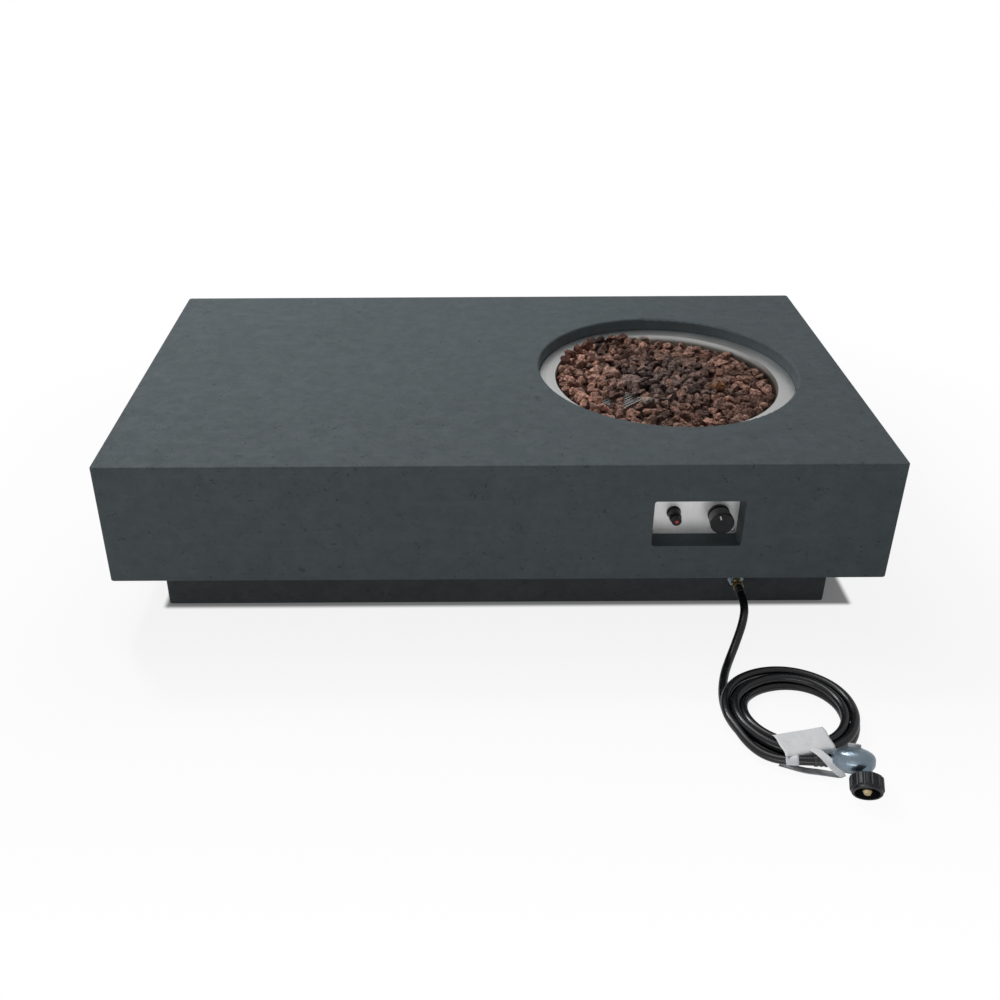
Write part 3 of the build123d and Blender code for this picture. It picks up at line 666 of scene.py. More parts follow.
def strip(name: str, edges: Sequence[tuple[Point, Point]], thickness: float, across: int = 6, between: int = 5
          ) -> bpy.types.Object:
    """Makes a thin curved strip between pairs of edge points.

    Args:
        name: The piece's name.
        edges: Left and right edge points, in order along the strip.
        thickness: The sheet's thickness in metres.
        across: How many faces lie across the strip.
        between: How many faces lie between two pairs.

    Returns:
        The strip with its thickness applied.
    """
    def spline(points: list[Vector]) -> list[Vector]:
        """Draws a smooth line through some points.

        Args:
            points: The points, in order.

        Returns:
            The points and those between them.
        """
        padded = [points[0] * 2 - points[1], *points, points[-1] * 2 - points[-2]]
        out = []
        for a, b, c, d in zip(padded, padded[1:], padded[2:], padded[3:]):
            for k in range(between):
                t = k / between
                out.append(0.5 * ((2 * b) + (c - a) * t + (2 * a - 5 * b + 4 * c - d) * t * t
                                  + (3 * b - a - 3 * c + d) * t ** 3))
        return out + [points[-1]]

    left, right = (spline([Vector(pair[side]) for pair in edges]) for side in (0, 1))
    points, faces = [], []
    for a, b in zip(left, right):
        points += [a.lerp(b, k / across) for k in range(across + 1)]
    for row in range(len(left) - 1):
        for k in range(across):
            first = row * (across + 1) + k
            faces.append((first, first + 1, first + across + 2, first + across + 1))
    piece = mesh_piece(name, points, faces)
    thicken(piece, thickness, 0.0)
    return piece


# ---------------------------------------------------------------- studio


@dataclass
class Studio:
    """Camera, floor and soft lights."""

    pitch: float = 29.04
    roll: float = -0.30
    focal: float = 1087.49
    centre: tuple[float, float] = (460.57, 452.59)
    width: float = 1000.0
    sensor: float = 36.0
    floor_half: float = 14.0
    # The floor keeps its deep shadow under this rectangle alone
    shade_centre: Point = (0.022, 0.0, 0.0)
    shade_half: Point = (0.657, 0.333, 0.0)
    shade_edge: float = 0.014
    shade_end: float = 0.9

    def build(self) -> None:
        """Sets up everything that isn't part of the object."""
        self._camera()
        self._floor()
        self._world()
        self._light("overhead", at=(-0.3, 0.6, 3.0), aim=(0.0, -0.2, 0.3), size=(2.0, 2.0), power=33.0)
        self._light("key", at=(-1.5, 1.0, 2.7), aim=(0.2, -0.1, 0.3), size=(0.45, 0.45), power=42.0)
        self._light("front", at=(-0.5, -3.0, 0.27), aim=(0.1, -0.4, 0.2), size=(2.4, 0.45), power=15.5)

    def _camera(self) -> None:
        """Places the camera and shifts its frame."""
        data = bpy.data.cameras.new("camera")
        data.sensor_width = self.sensor
        data.lens = self.focal / self.width * data.sensor_width
        data.shift_x = 0.5 - self.centre[0] / self.width
        data.shift_y = self.centre[1] / self.width - 0.5
        data.clip_end = 60.0
        camera = bpy.data.objects.new("camera", data)
        bpy.context.scene.collection.objects.link(camera)
        look = Euler((math.radians(90 - self.pitch), 0, 0)).to_matrix()
        lean = Euler((0, 0, math.radians(self.roll))).to_matrix()
        camera.matrix_world = Matrix.Translation(CAMERA_AT) @ (look @ lean).to_4x4()
        bpy.context.scene.camera = camera
        bpy.context.scene.view_settings.view_transform = "Standard"

    def _floor(self) -> None:
        """Lays a white floor that keeps a deep shadow under the base and a faint one around it."""
        half = self.floor_half
        floor = mesh_piece("floor", [(-half, -half, 0), (half, -half, 0), (half, half, 0), (-half, half, 0)],
                           [(0, 1, 2, 3)])
        g = Graph("floor")
        g.finish(Base_Color=(0.86, 0.86, 0.86), Roughness=0.9, Normal=g.bump(g.noise(300), 0.0001))
        glow = g.add("ShaderNodeEmission", {"Color": (1.0, 1.0, 1.0), "Strength": 1.0})
        side = g.vector("ABSOLUTE", g.vector("SUBTRACT", g.place, self.shade_centre))
        away = g.length(g.vector("MAXIMUM", g.vector("SUBTRACT", side, self.shade_half)))
        lit = g.math("ADD", g.span(away, 0.0, self.shade_edge, 0.10, 0.88),
                     g.span(away, self.shade_edge, self.shade_end, 0.0, 0.12))
        share = g.math("MAXIMUM", g.times(g.ray("Camera"), lit), g.times(g.ray("Glossy"), 0.45))
        blend = g.add("ShaderNodeMixShader", {0: share, 1: g.shader.outputs[0], 2: glow})
        g.tree.links.new(blend, g.surface)
        floor.data.materials.append(g.material)

    def _world(self) -> None:
        """Fills the room with even light and shows the camera a white backdrop."""
        world = bpy.data.worlds.new("studio")
        bpy.context.scene.world = world
        world.use_nodes = True
        tree = world.node_tree
        tree.nodes.clear()
        out = tree.nodes.new("ShaderNodeOutputWorld")
        path = tree.nodes.new("ShaderNodeLightPath")
        shown = self._backdrop(tree, (0.95, 0.955, 1.0), 0.15)
        for ray, strength in (("Is Glossy Ray", 0.55), ("Is Camera Ray", 1.0)):
            blend = tree.nodes.new("ShaderNodeMixShader")
            tree.links.new(path.outputs[ray], blend.inputs[0])
            tree.links.new(shown, blend.inputs[1])
            tree.links.new(self._backdrop(tree, (1.0, 1.0, 1.0), strength), blend.inputs[2])
            shown = blend.outputs[0]
        tree.links.new(shown, out.inputs["Surface"])

    @staticmethod
    def _backdrop(tree: bpy.types.NodeTree, tone: Rgb, strength: float) -> Socket:
        """Adds an even background to the world.

        Args:
            tree: The world's node tree.
            tone: Its colour.
            strength: Its brightness.

        Returns:
            Its shader output.
        """
        node = tree.nodes.new("ShaderNodeBackground")
        node.inputs["Color"].default_value = (*tone, 1.0)
        node.inputs["Strength"].default_value = strength
        return node.outputs[0]

    def _light(self, name: str, at: Point, aim: Point, size: tuple[float, float], power: float) -> None:
        """Hangs one softbox.

        Args:
            name: The light's name.
            at: Its place.
            aim: The point that it faces.
            size: Its width and height in metres.
            power: Its power in watts.
        """
        data = bpy.data.lights.new(name, "AREA")
        data.shape = "RECTANGLE"
        data.size, data.size_y, data.energy = *size, power
        light = bpy.data.objects.new(name, data)
        bpy.context.scene.collection.objects.link(light)
        light.location = at
        light.rotation_euler = (Vector(aim) - Vector(at)).to_track_quat("-Z", "Y").to_euler()


# ---------------------------------------------------------------- hose


@dataclass
class GasHose:
    """The rubber hose with its coil, crimps, label band and blank paper tag."""

    palette: Palette
    diameter: float = 0.015
    length: float = 2.81
    route: Sequence[Point] = (
        (0.455, -0.388, 0.062), (0.455, -0.422, 0.062), (0.446, -0.454, 0.0495), (0.430, -0.482, 0.0245),
        (0.4115, -0.514, 0.0082), (0.395, -0.551, 0.0076), (0.382, -0.595, 0.0076), (0.377, -0.637, 0.0076),
    )
    tail: Sequence[Point] = (
        (0.383, -0.697, 0.0195), (0.393, -0.724, 0.016), (0.4108, -0.7478, 0.0125), (0.435, -0.764, 0.0145),
        (0.4608, -0.7717, 0.0207), (0.4864, -0.7756, 0.0229),
    )
    coil_centre: tuple[float, float] = (0.482, -0.652)
    points_per_turn: int = 16
    coil_start: float = 194.5
    coil_end: float = 1627.0
    inlet: Point = (0.455, -0.3685, 0.062)
    crimp_lengths: tuple[float, float] = (0.0195, 0.021)
    crimp_radius: float = 0.0087
    crimp_bore: float = 0.0071
    crimp_groove: float = 0.0009
    band_from_end: tuple[float, float] = (0.022, 0.042)
    band_radius: float = 0.00795
    band_thickness: float = 0.0003
    tag_turn: float = 12.0
    tag_thickness: float = 0.0004
    sleeve_thickness: float = 0.0005
    sleeve_ends: tuple[float, float] = (-0.063, 0.026)
    # Angle in degrees, radius and height in millimetres of the coil's line, turn after turn
    turns: Sequence[tuple[float, float, float]] = (
        (172, 106, 7.6), (188, 102.5, 7.6), (204, 99.6, 7.6), (222, 101, 7.6), (240, 105, 7.6),
        (260, 106.5, 7.6), (360, 107.5, 7.6), (440, 105.5, 7.6), (486, 99.5, 7.6), (512, 93.6, 7.6),
        (532, 89.8, 7.6), (564, 84.4, 7.6), (600, 87.5, 7.6), (630, 91, 7.6), (715, 91.8, 7.6),
        (740, 89.5, 7.6), (762, 83.5, 7.6), (782, 76.5, 7.6), (802, 70.5, 7.6), (820, 68, 7.6),
        (838, 68.8, 7.6), (853, 70.5, 7.6), (868, 72.6, 10), (886, 75.6, 16.4), (904, 79.6, 20.5),
        (925, 81.8, 21.3), (955, 84.2, 22.1), (985, 88, 22.3), (1010, 89.5, 22.3), (1075, 89.3, 22.3),
        (1110, 84.5, 22.3), (1136, 79.5, 22.4), (1156, 76.4, 21.8), (1178, 75.5, 20.6), (1204, 76, 20.7),
        (1222, 79.7, 22.5), (1240, 87, 24.8), (1260, 94, 26), (1284, 96.5, 26), (1306, 98.5, 24.5),
        (1326, 102, 22.4), (1350, 104.5, 22.4), (1440, 105, 22.4), (1470, 102, 22.2), (1500, 96.3, 21),
        (1530, 94.3, 20.7), (1555, 95.3, 21), (1576, 99.6, 22.3), (1594, 104.2, 22.8), (1612, 107.8, 22.7),
        (1628, 109.6, 21.6), (1644, 109.7, 19.5),
    )
    # The finished nodes that hang on the hose
    carried: Sequence[str] = ("inlet_flare_nut", "regulator_body", "regulator_bonnet", "regulator_vent_cap",
                              "coupling_nut", "coupling_nipple")
    centreline: list[Vector] = field(default_factory=list)

    def build(self) -> None:
        """Builds the hose with everything on it."""
        hose = self._hose()
        end, before = Vector(self.tail[-1]), Vector(self.tail[-2])
        first, last = self.crimp_lengths
        on_it = [self._crimp("crimp_at_inlet", "hose_ferrule_inlet", Vector(self.inlet), FRONTWARDS, first),
                 self._crimp("crimp_at_regulator", "hose_ferrule_regulator", end, end - before, last),
                 self._band(), *self._tag()]
        on_it += [bpy.data.objects[name] for name in self.carried]

    def _hose(self) -> bpy.types.Object:
        """Lays the hose as one spline and keeps its centreline.

        Returns:
            The hose's curve.
        """
        curve = bpy.data.curves.new("gas_hose", "CURVE")
        curve.dimensions = "3D"
        curve.resolution_u = 12
        line = [*self.route, *self._coil_points(), *self.tail]
        spline = curve.splines.new("NURBS")
        spline.points.add(len(line) - 1)
        for point, place in zip(spline.points, line):
            point.co = (*place, 1.0)
        spline.order_u = 3
        spline.use_endpoint_u = True
        hose = bpy.data.objects.new("gas_hose", curve)
        bpy.context.scene.collection.objects.link(hose)
        self.centreline = self._read_line(hose)
        curve.bevel_depth = self.diameter / 2
        curve.bevel_resolution = 7
        curve.use_fill_caps = True
        return self.palette.settle(hose, "hose_rubber", TABLE, "hose_tube", "hose_coil", "hose_tail")

    def _coil_points(self) -> list[Point]:
        """Lays the coil's turns, a fixed number of points to each turn.

        Returns:
            The points in metres.
        """
        angles, radii, heights = zip(*self.turns)
        step = 360.0 / self.points_per_turn
        count = round((self.coil_end - self.coil_start) / step)
        inward = math.cos(math.radians(step) / 2)
        points = []
        for k in range(count + 1):
            angle = self.coil_start + (self.coil_end - self.coil_start) * k / count
            radius = float(np.interp(angle, angles, radii)) / (0.25 + 0.75 * inward) / 1000
            height = float(np.interp(angle, angles, heights)) / 1000
            turn = math.radians(angle)
            points.append((self.coil_centre[0] + radius * math.cos(turn),
                           self.coil_centre[1] + radius * math.sin(turn), height))
        return points

    @staticmethod
    def _read_line(hose: bpy.types.Object) -> list[Vector]:
        """Reads the line of the hose's own spline.

        Args:
            hose: The hose, before it has a thickness.

        Returns:
            Points along it, from the apron outwards.
        """
        bpy.context.view_layer.update()
        mesh = bpy.data.meshes.new_from_object(hose)
        points = [vertex.co.copy() for vertex in mesh.vertices]
        bpy.data.meshes.remove(mesh)
        return points

    def _crimp(self, name: str, node: str, start: Vector, direction: Vector, length: float
               ) -> bpy.types.Object:
        """Makes a crimped sleeve with two pressed grooves.

        Args:
            name: The piece's name.
            node: The CAD node that it stands for.
            start: The end that faces the hose or its fitting.
            direction: The way in which it runs.
            length: Its length in metres.

        Returns:
            The sleeve.
        """
        r, low, s = self.crimp_radius, self.crimp_radius - self.crimp_groove, length
        profile = [(self.crimp_bore, 0.0), (r - 0.0005, 0.0), (r, 0.0006), (r, 0.24 * s), (low, 0.30 * s),
                   (low, 0.42 * s), (r, 0.48 * s), (r, 0.58 * s), (low, 0.64 * s),
                   (low, 0.76 * s), (r, 0.82 * s), (r, s - 0.0008), (r - 0.0006, s), (self.crimp_bore, s)]

        def pressed(radius: float, angle: float, _: float) -> float:
            """Leaves the marks of eight jaws on the outside."""
            return radius + (0.00016 * math.cos(8 * angle) if radius > self.crimp_bore else 0)

        piece = lathe(name, frame_along(start, direction), profile, 48, pressed)
        return self.palette.settle(piece, "black_crimp", TABLE, node)

    def _along(self, low: float, high: float) -> list[Vector]:
        """Picks a stretch of the hose's line.

        Args:
            low: Where it begins, in metres from the far end.
            high: Where it ends.

        Returns:
            The line's points there.
        """
        chosen, run = [], 0.0
        for a, b in zip(self.centreline[::-1], self.centreline[-2::-1]):
            if low <= run <= high:
                chosen.append(a)
            run += (a - b).length
        return chosen

    def _band(self) -> bpy.types.Object:
        """Wraps the plain label band round the hose, close to the regulator.

        Returns:
            The band.
        """
        line = self._along(*self.band_from_end)
        points, sides = [], 40
        for i, here in enumerate(line):
            ahead = line[min(i + 1, len(line) - 1)] - line[max(i - 1, 0)]
            place = frame_along(here, ahead)
            for k in range(sides):
                angle = math.tau * k / sides
                radius = self.band_radius + 0.00018 * math.sin(3 * angle + 0.6 * i) * math.sin(5 * angle)
                points.append(place @ Vector((radius * math.cos(angle), radius * math.sin(angle), 0)))
        piece = mesh_piece("label_band", points, tube_faces(len(line), sides))
        thicken(piece, self.band_thickness, 1.0)
        return self.palette.settle(piece, "blank_label", TABLE, "hose_label_band")

    def _tag(self) -> list[bpy.types.Object]:
        """Folds the blank paper sleeve over the coil and hangs its loose end round the hose.

        Returns:
            The sleeve and the two parts of its loose end.
        """
        turn = math.radians(self.tag_turn)
        along = Vector((math.cos(turn), math.sin(turn), 0))
        out = Vector((math.sin(turn), -math.cos(turn), 0))
        centre = Vector((*self.coil_centre, 0))
        # Distance out from the coil's middle and height of the sleeve's two edges
        left_side = [(0.0572, 0.0165), (0.0576, 0.0225), (0.0596, 0.0276), (0.0640, 0.0306), (0.0715, 0.0316),
                     (0.0800, 0.0318), (0.0890, 0.0318), (0.0980, 0.0312), (0.1040, 0.0306), (0.1070, 0.0296),
                     (0.1085, 0.0285)]
        right_side = [*left_side[:7], (0.1005, 0.0312), (0.1080, 0.0300), (0.1112, 0.0262), (0.1128, 0.0205)]
        edges = []
        for i, (near, far) in enumerate(zip(left_side, right_side)):
            dip = 0.0006 * math.sin(i * 1.9)
            left = centre + along * (self.sleeve_ends[0] + dip) + out * near[0] + Vector((0, 0, near[1]))
            to_right = along * (self.sleeve_ends[1] - 0.0005 * i + dip)
            right = centre + to_right + out * far[0] + Vector((0, 0, far[1]))
            edges.append((tuple(left), tuple(right)))
        sleeve = strip("blank_tag", edges, self.sleeve_thickness, across=22, between=4)
        for vertex in sleeve.data.vertices:
            ripple = noise.noise(vertex.co * 38.0) * 0.0007 + noise.noise(vertex.co * 110.0) * 0.0002
            vertex.co.z += ripple
        flap = strip("tag_flap", [
            ((0.4795, -0.7575, 0.0296), (0.4945, -0.7535, 0.0300)),
            ((0.4850, -0.7660, 0.0330), (0.5000, -0.7640, 0.0345)),
            ((0.4920, -0.7780, 0.0342), (0.5075, -0.7770, 0.0352)),
            ((0.5020, -0.7880, 0.0270), (0.5180, -0.7880, 0.0290)),
            ((0.5140, -0.7930, 0.0150), (0.5280, -0.7940, 0.0190)),
            ((0.5260, -0.7940, 0.0050), (0.5330, -0.7950, 0.0100)),
        ], self.tag_thickness)
        under = strip("tag_underside", [
            ((0.5270, -0.7945, 0.0048), (0.5332, -0.7952, 0.0098)),
            ((0.5200, -0.7900, 0.0012), (0.5260, -0.7800, 0.0018)),
            ((0.5000, -0.7850, 0.0006), (0.5020, -0.7720, 0.0008)),
            ((0.4720, -0.7790, 0.0005), (0.4740, -0.7660, 0.0006)),
            ((0.4370, -0.7640, 0.0005), (0.4420, -0.7530, 0.0006)),
        ], self.tag_thickness)
        return [self.palette.settle(part, "blank_tag", TABLE, "hose_tag") for part in (sleeve, flap, under)]


# ---------------------------------------------------------------- burner


@dataclass
class Stone:
    """One stone at rest."""

    place: Vector
    radius: float
    squash: float
    turn: Quaternion
    form: int
    tint: Rgb


@dataclass
class LavaBed:
    """Loose lava stones that are dropped one by one into the pan."""

    palette: Palette
    seed: int = 5
    # Dropping: grid cell, radius of the bowl, its fill, and how long a place is looked for
    cell: float = 0.0025
    reach: float = 0.2215
    bed_top: float = 0.300
    tries: int = 26
    most: int = 1500
    patience: int = 90
    may_stand_out: float = 0.0022
    # Stones: mean radius and spread, least and most radius, flatness
    size: tuple[float, float] = (0.0145, 0.0038)
    size_limits: tuple[float, float] = (0.0080, 0.0225)
    flatness: tuple[float, float] = (0.72, 0.95)
    sinks_by: float = 0.10
    overlap: float = 0.0012
    belly_share: float = 0.93
    edge_room: float = 0.9
    # Heap: radius, height, crown, and how it rises at one side and falls at the other
    heap_radius: float = 0.222
    heap_height: float = 0.3260
    heap_crown: float = 0.004
    high_side: float = 140.0
    high_by: float = 0.0035
    low_side: float = 32.0
    low_by: float = 0.0125
    # Broken forms: how many, planes that cut each, and how far out the planes lie
    form_count: int = 14
    planes: int = 9
    plane_depths: tuple[float, float] = (0.50, 0.92)
    furthest: float = 1.22
    kept_faces: float = 0.45
    # Tints: at the edge and in the middle, the middle's place and size, and how much they vary
    edge_tone: Rgb = srgb(186, 147, 131)
    middle_tone: Rgb = srgb(134, 120, 115)
    middle_at: tuple[float, float] = (0.355, 0.005)
    middle_size: tuple[float, float] = (0.120, 0.140)
    grey_spread: float = 0.22
    tint_range: tuple[float, float] = (0.45, 1.35)
    # Painted light: stones on the left get a lighter tint, standing in for the light from the left: by how
    # much, from where, and over what width
    painted_light_by: float = 0.55
    painted_light_from: float = 0.29
    painted_light_over: float = 0.12
    guard_centre: tuple[float, float] = (0.256, -0.082)
    guard_half: tuple[float, float] = (0.035, 0.025)
    guard_turn: float = 43.0
    guard_top: float = 0.315
    # What a stone hides: behind it, to each metre of its height, and beside it, to each metre of its radius
    hides_behind: float = 1.7
    hides_beside: float = 0.72
    # Places on the mesh guard that no stone hides: centre and radius
    bare: Sequence[tuple[float, float, float]] = (
        (0.2255, -0.0865, 0.0075), (0.268, -0.0905, 0.010), (0.283, -0.079, 0.0095))
    # Stones that are set one by one from this list: place, radius and tint
    lone: Sequence[tuple[float, float, float, float, Rgb]] = (
        (0.2450, -0.0760, 0.3225, 0.0125, srgb(104, 84, 78)),
        (0.4500, -0.0580, 0.3325, 0.0135, srgb(205, 152, 112)),
        (0.3030, -0.1110, 0.3270, 0.0145, srgb(170, 158, 148)),
        (0.2230, 0.1740, 0.3305, 0.0125, srgb(96, 74, 68)),
        (0.2440, 0.1870, 0.3295, 0.0110, srgb(84, 68, 64)),
        (0.2060, 0.1560, 0.3305, 0.0115, srgb(150, 104, 90)),
        (0.1880, 0.1380, 0.3302, 0.0130, srgb(140, 100, 86)),
        (0.1720, 0.1150, 0.3296, 0.0120, srgb(132, 94, 80)),
        (0.1590, 0.0900, 0.3290, 0.0125, srgb(120, 86, 76)),
        (0.2680, 0.2000, 0.3265, 0.0120, srgb(146, 108, 92)),
        (0.2940, 0.2080, 0.3260, 0.0115, srgb(126, 94, 82)),
    )
    pieces: int = 6
    stones: list[Stone] = field(default_factory=list)

    def build(self) -> None:
        """Drops the stones and joins them into a few pieces."""
        rng = np.random.default_rng(self.seed)
        forms = [self._form(rng) for _ in range(self.form_count)]
        self._drop(rng)
        order = sorted(self.stones, key=lambda s: math.atan2(s.place.y, s.place.x - WELL.x))
        share = math.ceil(len(order) / self.pieces)
        for k in range(self.pieces):
            self._join(f"lava_stones_{k + 1}", order[k * share:(k + 1) * share], forms)
        log.info("%d stones", len(self.stones))

    def _form(self, rng: np.random.Generator) -> Form:
        """Breaks a ball along random planes and roughens it.

        Args:
            rng: The source of chance.

        Returns:
            Its corners, about one unit from the middle, and its faces.
        """
        ball = bmesh.new()
        bmesh.ops.create_icosphere(ball, subdivisions=4, radius=1.0)
        corners = np.array([v.co[:] for v in ball.verts])
        faces = [tuple(v.index for v in f.verts) for f in ball.faces]
        ball.free()
        normals = rng.normal(size=(self.planes, 3))
        normals /= np.linalg.norm(normals, axis=1)[:, None]
        depths = rng.uniform(*self.plane_depths, self.planes)
        facing = np.maximum(corners @ normals.T, 0.08)
        reach = np.minimum((depths / facing).min(axis=1), self.furthest)
        shift = Vector(rng.uniform(-40, 40, 3))
        rough = np.array([
            0.16 * noise.noise(Vector(c) * 1.7 + shift) + 0.15 * noise.noise(Vector(c) * 3.9 + shift)
            + 0.12 * noise.noise(Vector(c) * 8.5 + shift) for c in corners])
        pores = np.array([min(noise.voronoi(Vector(c) * 3.6 + shift)[0][0], 0.32) - 0.32 for c in corners])
        radius = 0.1 + 0.9 * reach + rough + 0.42 * pores
        oval = np.array([1.06, rng.uniform(0.78, 1.0), rng.uniform(0.68, 0.9)])
        return corners * radius[:, None] * oval, faces

    def _floor_height(self, xs: np.ndarray, ys: np.ndarray) -> np.ndarray:
        """Maps what lies under the stones: the bed, and the mesh guard on its posts.

        Args:
            xs: Places across.
            ys: Places in depth.

        Returns:
            The height at each place.
        """
        height = np.full(xs.shape, self.bed_top)
        turn = math.radians(self.guard_turn)
        dx, dy = xs - self.guard_centre[0], ys - self.guard_centre[1]
        along = dx * math.cos(turn) + dy * math.sin(turn)
        across = dy * math.cos(turn) - dx * math.sin(turn)
        on_guard = (np.abs(along) < self.guard_half[0]) & (np.abs(across) < self.guard_half[1])
        height[on_guard] = self.guard_top
        return height

    def _heap(self, x: float, y: float) -> float:
        """Shapes the heap: low at the right, high at the back left.

        Args:
            x: A place across.
            y: Its place in depth.

        Returns:
            How high the stones' tops reach there.
        """
        out = math.hypot(x - WELL.x, y) / self.heap_radius
        side = math.degrees(math.atan2(y, x - WELL.x))
        low = max(0.0, math.cos(math.radians(min(90.0, abs(side - self.low_side) * 1.4))))
        high = max(0.0, math.cos(math.radians(side - self.high_side)))
        tilt = self.high_by * high - self.low_by * low ** 0.7
        return self.heap_height + self.heap_crown * (1 - out * out) + tilt * out * out

    def _tint(self, x: float, y: float, rng: np.random.Generator) -> Rgb:
        """Picks a stone's colour: red brown near the edge, greyer and darker in the middle, and lighter on
        the left as painted light.

        Args:
            x: The stone's place across.
            y: Its place in depth.
            rng: The source of chance.

        Returns:
            Its colour.
        """
        across, along = ((a - m) / size for a, m, size in zip((x, y), self.middle_at, self.middle_size))
        grey = 0.95 * math.exp(-across ** 2 - along ** 2)
        grey = min(1.0, max(0.0, grey + rng.normal(0, self.grey_spread)))
        red, dark = np.array(self.edge_tone), np.array(self.middle_tone)
        # Painted light: a lighter tint towards the left, where the light falls
        painted_light = 1.0 + self.painted_light_by * min(1.0, max(0.0, (self.painted_light_from - x) / self.painted_light_over))
        tint = (red * (1 - grey) + dark * grey) * rng.uniform(*self.tint_range) * painted_light
        return tuple(float(c) for c in tint)

    def _hides_guard(self, x: float, y: float, top: float, radius: float) -> bool:
        """Says whether a stone would cover a part of the guard that shows.

        Args:
            x: The stone's place across.
            y: Its place in depth.
            top: The height of its top.
            radius: Its radius.

        Returns:
            True if it would.
        """
        away = Vector((x - CAMERA_AT.x, y - CAMERA_AT.y)).normalized()
        length = max(0.0, top - self.guard_top) * self.hides_behind
        for px, py, keep in self.bare:
            gap = Vector((px - x, py - y))
            run = min(max(gap.dot(away), 0.0), length)
            if (gap - away * run).length < keep + self.hides_beside * radius:
                return True
        return False

    def _drop(self, rng: np.random.Generator) -> None:
        """Drops stones on a height field until the heap is as high as it should be.

        Args:
            rng: The source of chance.
        """
        half = int(self.reach / self.cell) + 6
        axis = (np.arange(-half, half + 1)) * self.cell
        xs, ys = np.meshgrid(axis + WELL.x, axis, indexing="ij")
        heights = self._floor_height(xs, ys)
        for x, y, z, radius, tint in self.lone:
            self.stones.append(self._stone(Vector((x, y, z)), radius, tint, rng))
        misses = 0
        while misses < self.patience and len(self.stones) < self.most:
            radius = float(np.clip(rng.normal(*self.size), *self.size_limits))
            squash = rng.uniform(*self.flatness)
            best = None
            n = math.ceil(radius / self.cell)
            offsets = np.arange(-n, n + 1) * self.cell
            ox, oy = np.meshgrid(offsets, offsets, indexing="ij")
            under = 1 - (ox ** 2 + oy ** 2) / (radius * self.belly_share) ** 2
            inside = under > 0
            belly = np.sqrt(np.where(inside, under, 0)) * radius * squash
            for _ in range(self.tries):
                angle = rng.uniform(0, math.tau)
                dist = math.sqrt(rng.uniform()) * (self.reach - radius * self.edge_room)
                i = round(dist * math.cos(angle) / self.cell) + half
                j = round(dist * math.sin(angle) / self.cell) + half
                below = heights[i - n:i + n + 1, j - n:j + n + 1]
                rest = float((below + belly)[inside].max()) - self.sinks_by * radius
                x, y, top = xs[i, j], ys[i, j], rest + radius * squash
                over = top - self._heap(x, y)
                if (best is None or over < best[0]) and not self._hides_guard(x, y, top, radius):
                    best = (over, i, j, rest)
            if best is None or best[0] > self.may_stand_out:
                misses += 1
                continue
            misses = 0
            _, i, j, rest = best
            window = heights[i - n:i + n + 1, j - n:j + n + 1]
            window[inside] = np.maximum(window[inside], (rest + belly)[inside] - self.overlap)
            x, y = float(xs[i, j]), float(ys[i, j])
            self.stones.append(self._stone(Vector((x, y, rest)), radius, self._tint(x, y, rng), rng, squash))

    def _stone(self, place: Vector, radius: float, tint: Rgb, rng: np.random.Generator, squash: float = 0.8
               ) -> Stone:
        """Makes one stone with a random turn and form."""
        turn = Quaternion(rng.normal(size=4)).normalized()
        return Stone(place, radius, squash, turn, int(rng.integers(self.form_count)), tint)

    def _join(self, name: str, stones: Sequence[Stone], forms: Sequence[Form]) -> None:
        """Joins some stones into one piece.

        Args:
            name: The piece's name.
            stones: The stones that it holds.
            forms: The broken forms that they are cast from.
        """
        points, faces, tints, start = [], [], [], 0
        thin = {}
        for stone in stones:
            corners, sides = self._lighter(forms, stone.form, thin)
            turned = corners @ np.array(stone.turn.to_matrix()).T
            placed = turned * (stone.radius * np.array([1.0, 1.0, stone.squash])) + np.array(stone.place)
            points.append(placed)
            faces += [tuple(start + i for i in side) for side in sides]
            tints += [(*stone.tint, 1.0)] * len(corners)
            start += len(corners)
        piece = mesh_piece(name, np.vstack(points), faces, smooth=False)
        layer = piece.data.color_attributes.new("tint", "FLOAT_COLOR", "POINT")
        layer.data.foreach_set("color", np.array(tints, dtype=np.float32).ravel())
        self.palette.settle(piece, "lava_stones", TABLE, "lava_rocks_top", slot="lava")

    def _lighter(self, forms: Sequence[Form], number: int, made: dict[int, Form]) -> Form:
        """Thins a form to about half of its faces, once.

        Args:
            forms: The full forms.
            number: Which of them is wanted.
            made: The ones that are thinned already, which grows here.

        Returns:
            The thinner form.
        """
        if number not in made:
            rock = mesh_piece("thinning", *forms[number])
            rock.modifiers.new("thin", "DECIMATE").ratio = self.kept_faces
            bpy.context.view_layer.update()
            mesh = bpy.data.meshes.new_from_object(rock.evaluated_get(bpy.context.evaluated_depsgraph_get()))
            made[number] = (np.array([v.co[:] for v in mesh.vertices]),
                            [tuple(p.vertices) for p in mesh.polygons])
            bpy.data.objects.remove(rock)
            bpy.data.meshes.remove(mesh)
        return made[number]


# ---------------------------------------------------------------- springs


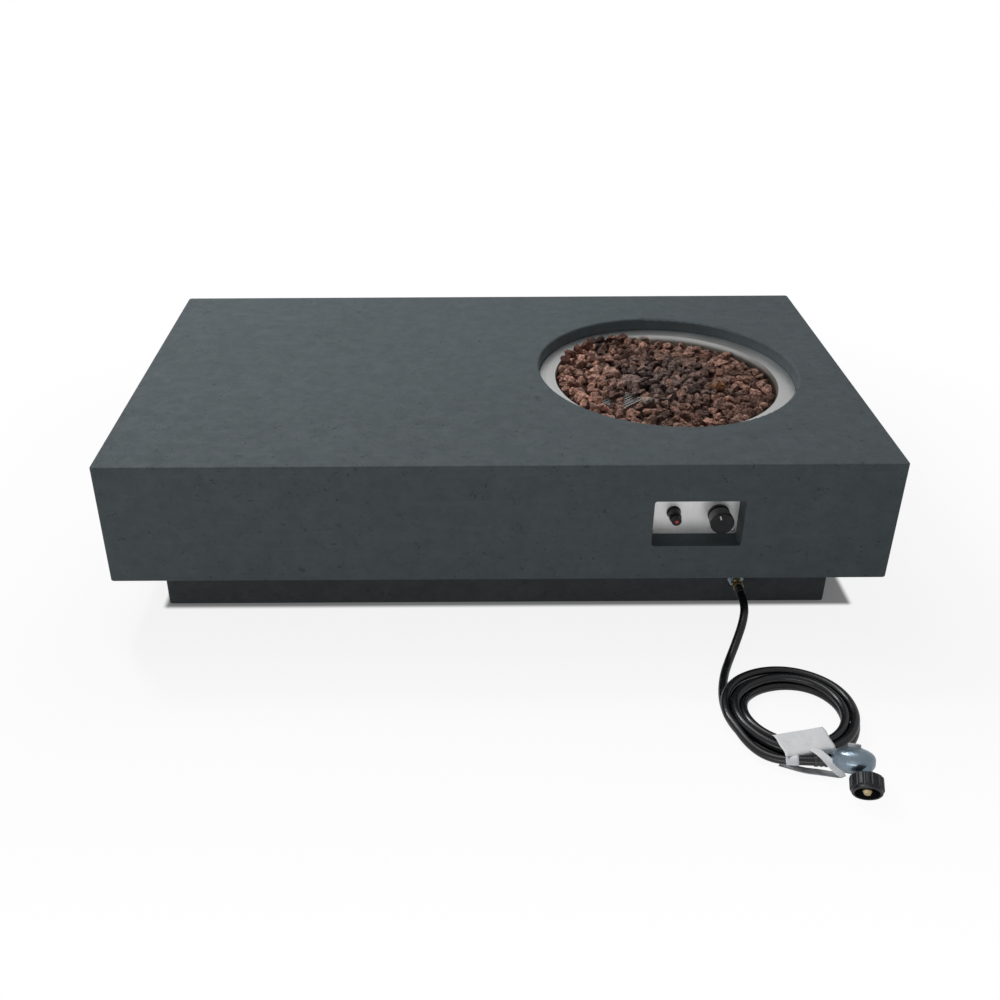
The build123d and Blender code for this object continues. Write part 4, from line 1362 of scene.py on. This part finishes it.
@dataclass(frozen=True)
class Spring:
    """A round-wire spring under a pressed joint, wound at its rest length."""

    node: str
    body: str
    joint: str
    fixed_end: Point
    length: float
    radius: float
    turns: int
    press: float
    wire: float = 0.00035
    sides: int = 12
    steps_per_turn: int = 40

    def build(self, palette: Palette) -> None:
        """Winds the spring from its fixed end towards the front and makes it ride with its body.

        Args:
            palette: Where its finish comes from.
        """
        place = frame_along(Vector(self.fixed_end), FRONTWARDS)
        steps, sides = self.steps_per_turn * self.turns, self.sides
        rise = self.length - 2 * self.wire
        points = []
        for i in range(steps + 1):
            angle = math.tau * self.turns * i / steps
            for k in range(sides):
                lean = math.tau * k / sides
                r = self.radius + self.wire * math.cos(lean)
                height = self.wire + rise * i / steps + self.wire * math.sin(lean)
                points.append(place @ Vector((r * math.cos(angle), r * math.sin(angle), height)))
        faces = [*tube_faces(steps + 1, sides), range(sides)[::-1], range(steps * sides, (steps + 1) * sides)]
        piece = mesh_piece(f"wound_{self.node}", points, faces)
        crease(piece, 60.0)
        palette.settle(piece, "spring_steel", self.body, self.node)
        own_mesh(piece)


SPRINGS = (
    Spring("valve_spring", TABLE, "knob_press", fixed_end=(0.400, -0.33801, 0.225),
           length=0.01298, radius=0.0051, turns=5, press=0.00302),
    Spring("igniter_spring", "igniter_cap_group", "igniter_press", fixed_end=(0.318, -0.37901, 0.229),
           length=0.00548, radius=0.0086, turns=2, press=0.00322),
)


# ---------------------------------------------------------------- carried-over nodes


@dataclass
class CarriedNodes:
    """The CAD nodes that keep their shape and get their finish."""

    palette: Palette
    record: dict

    def build(self, nodes: dict[str, bpy.types.Object]) -> None:
        """Dresses each node with the finish of its slot.

        Args:
            nodes: The CAD objects by name.
        """
        slots = {part["node"]: part["material_slot"] for part in self.record["subparts"]}
        for name, piece in nodes.items():
            self.palette.dress(piece, slots[name])


def main() -> None:
    """Builds the scene piece by piece."""
    logging.basicConfig(level=logging.INFO, format="%(name)s: %(message)s")
    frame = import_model()
    palette = Palette()
    Studio().build()
    log.info("studio")
    CarriedNodes(palette, frame["record"]).build(frame["nodes"])
    log.info("carried nodes")
    GasHose(palette).build()
    log.info("hose")
    LavaBed(palette).build()
    log.info("lava bed")
    for spring in SPRINGS:
        spring.build(palette)
        log.info(spring.node)


if __name__ == "__main__":
    main()
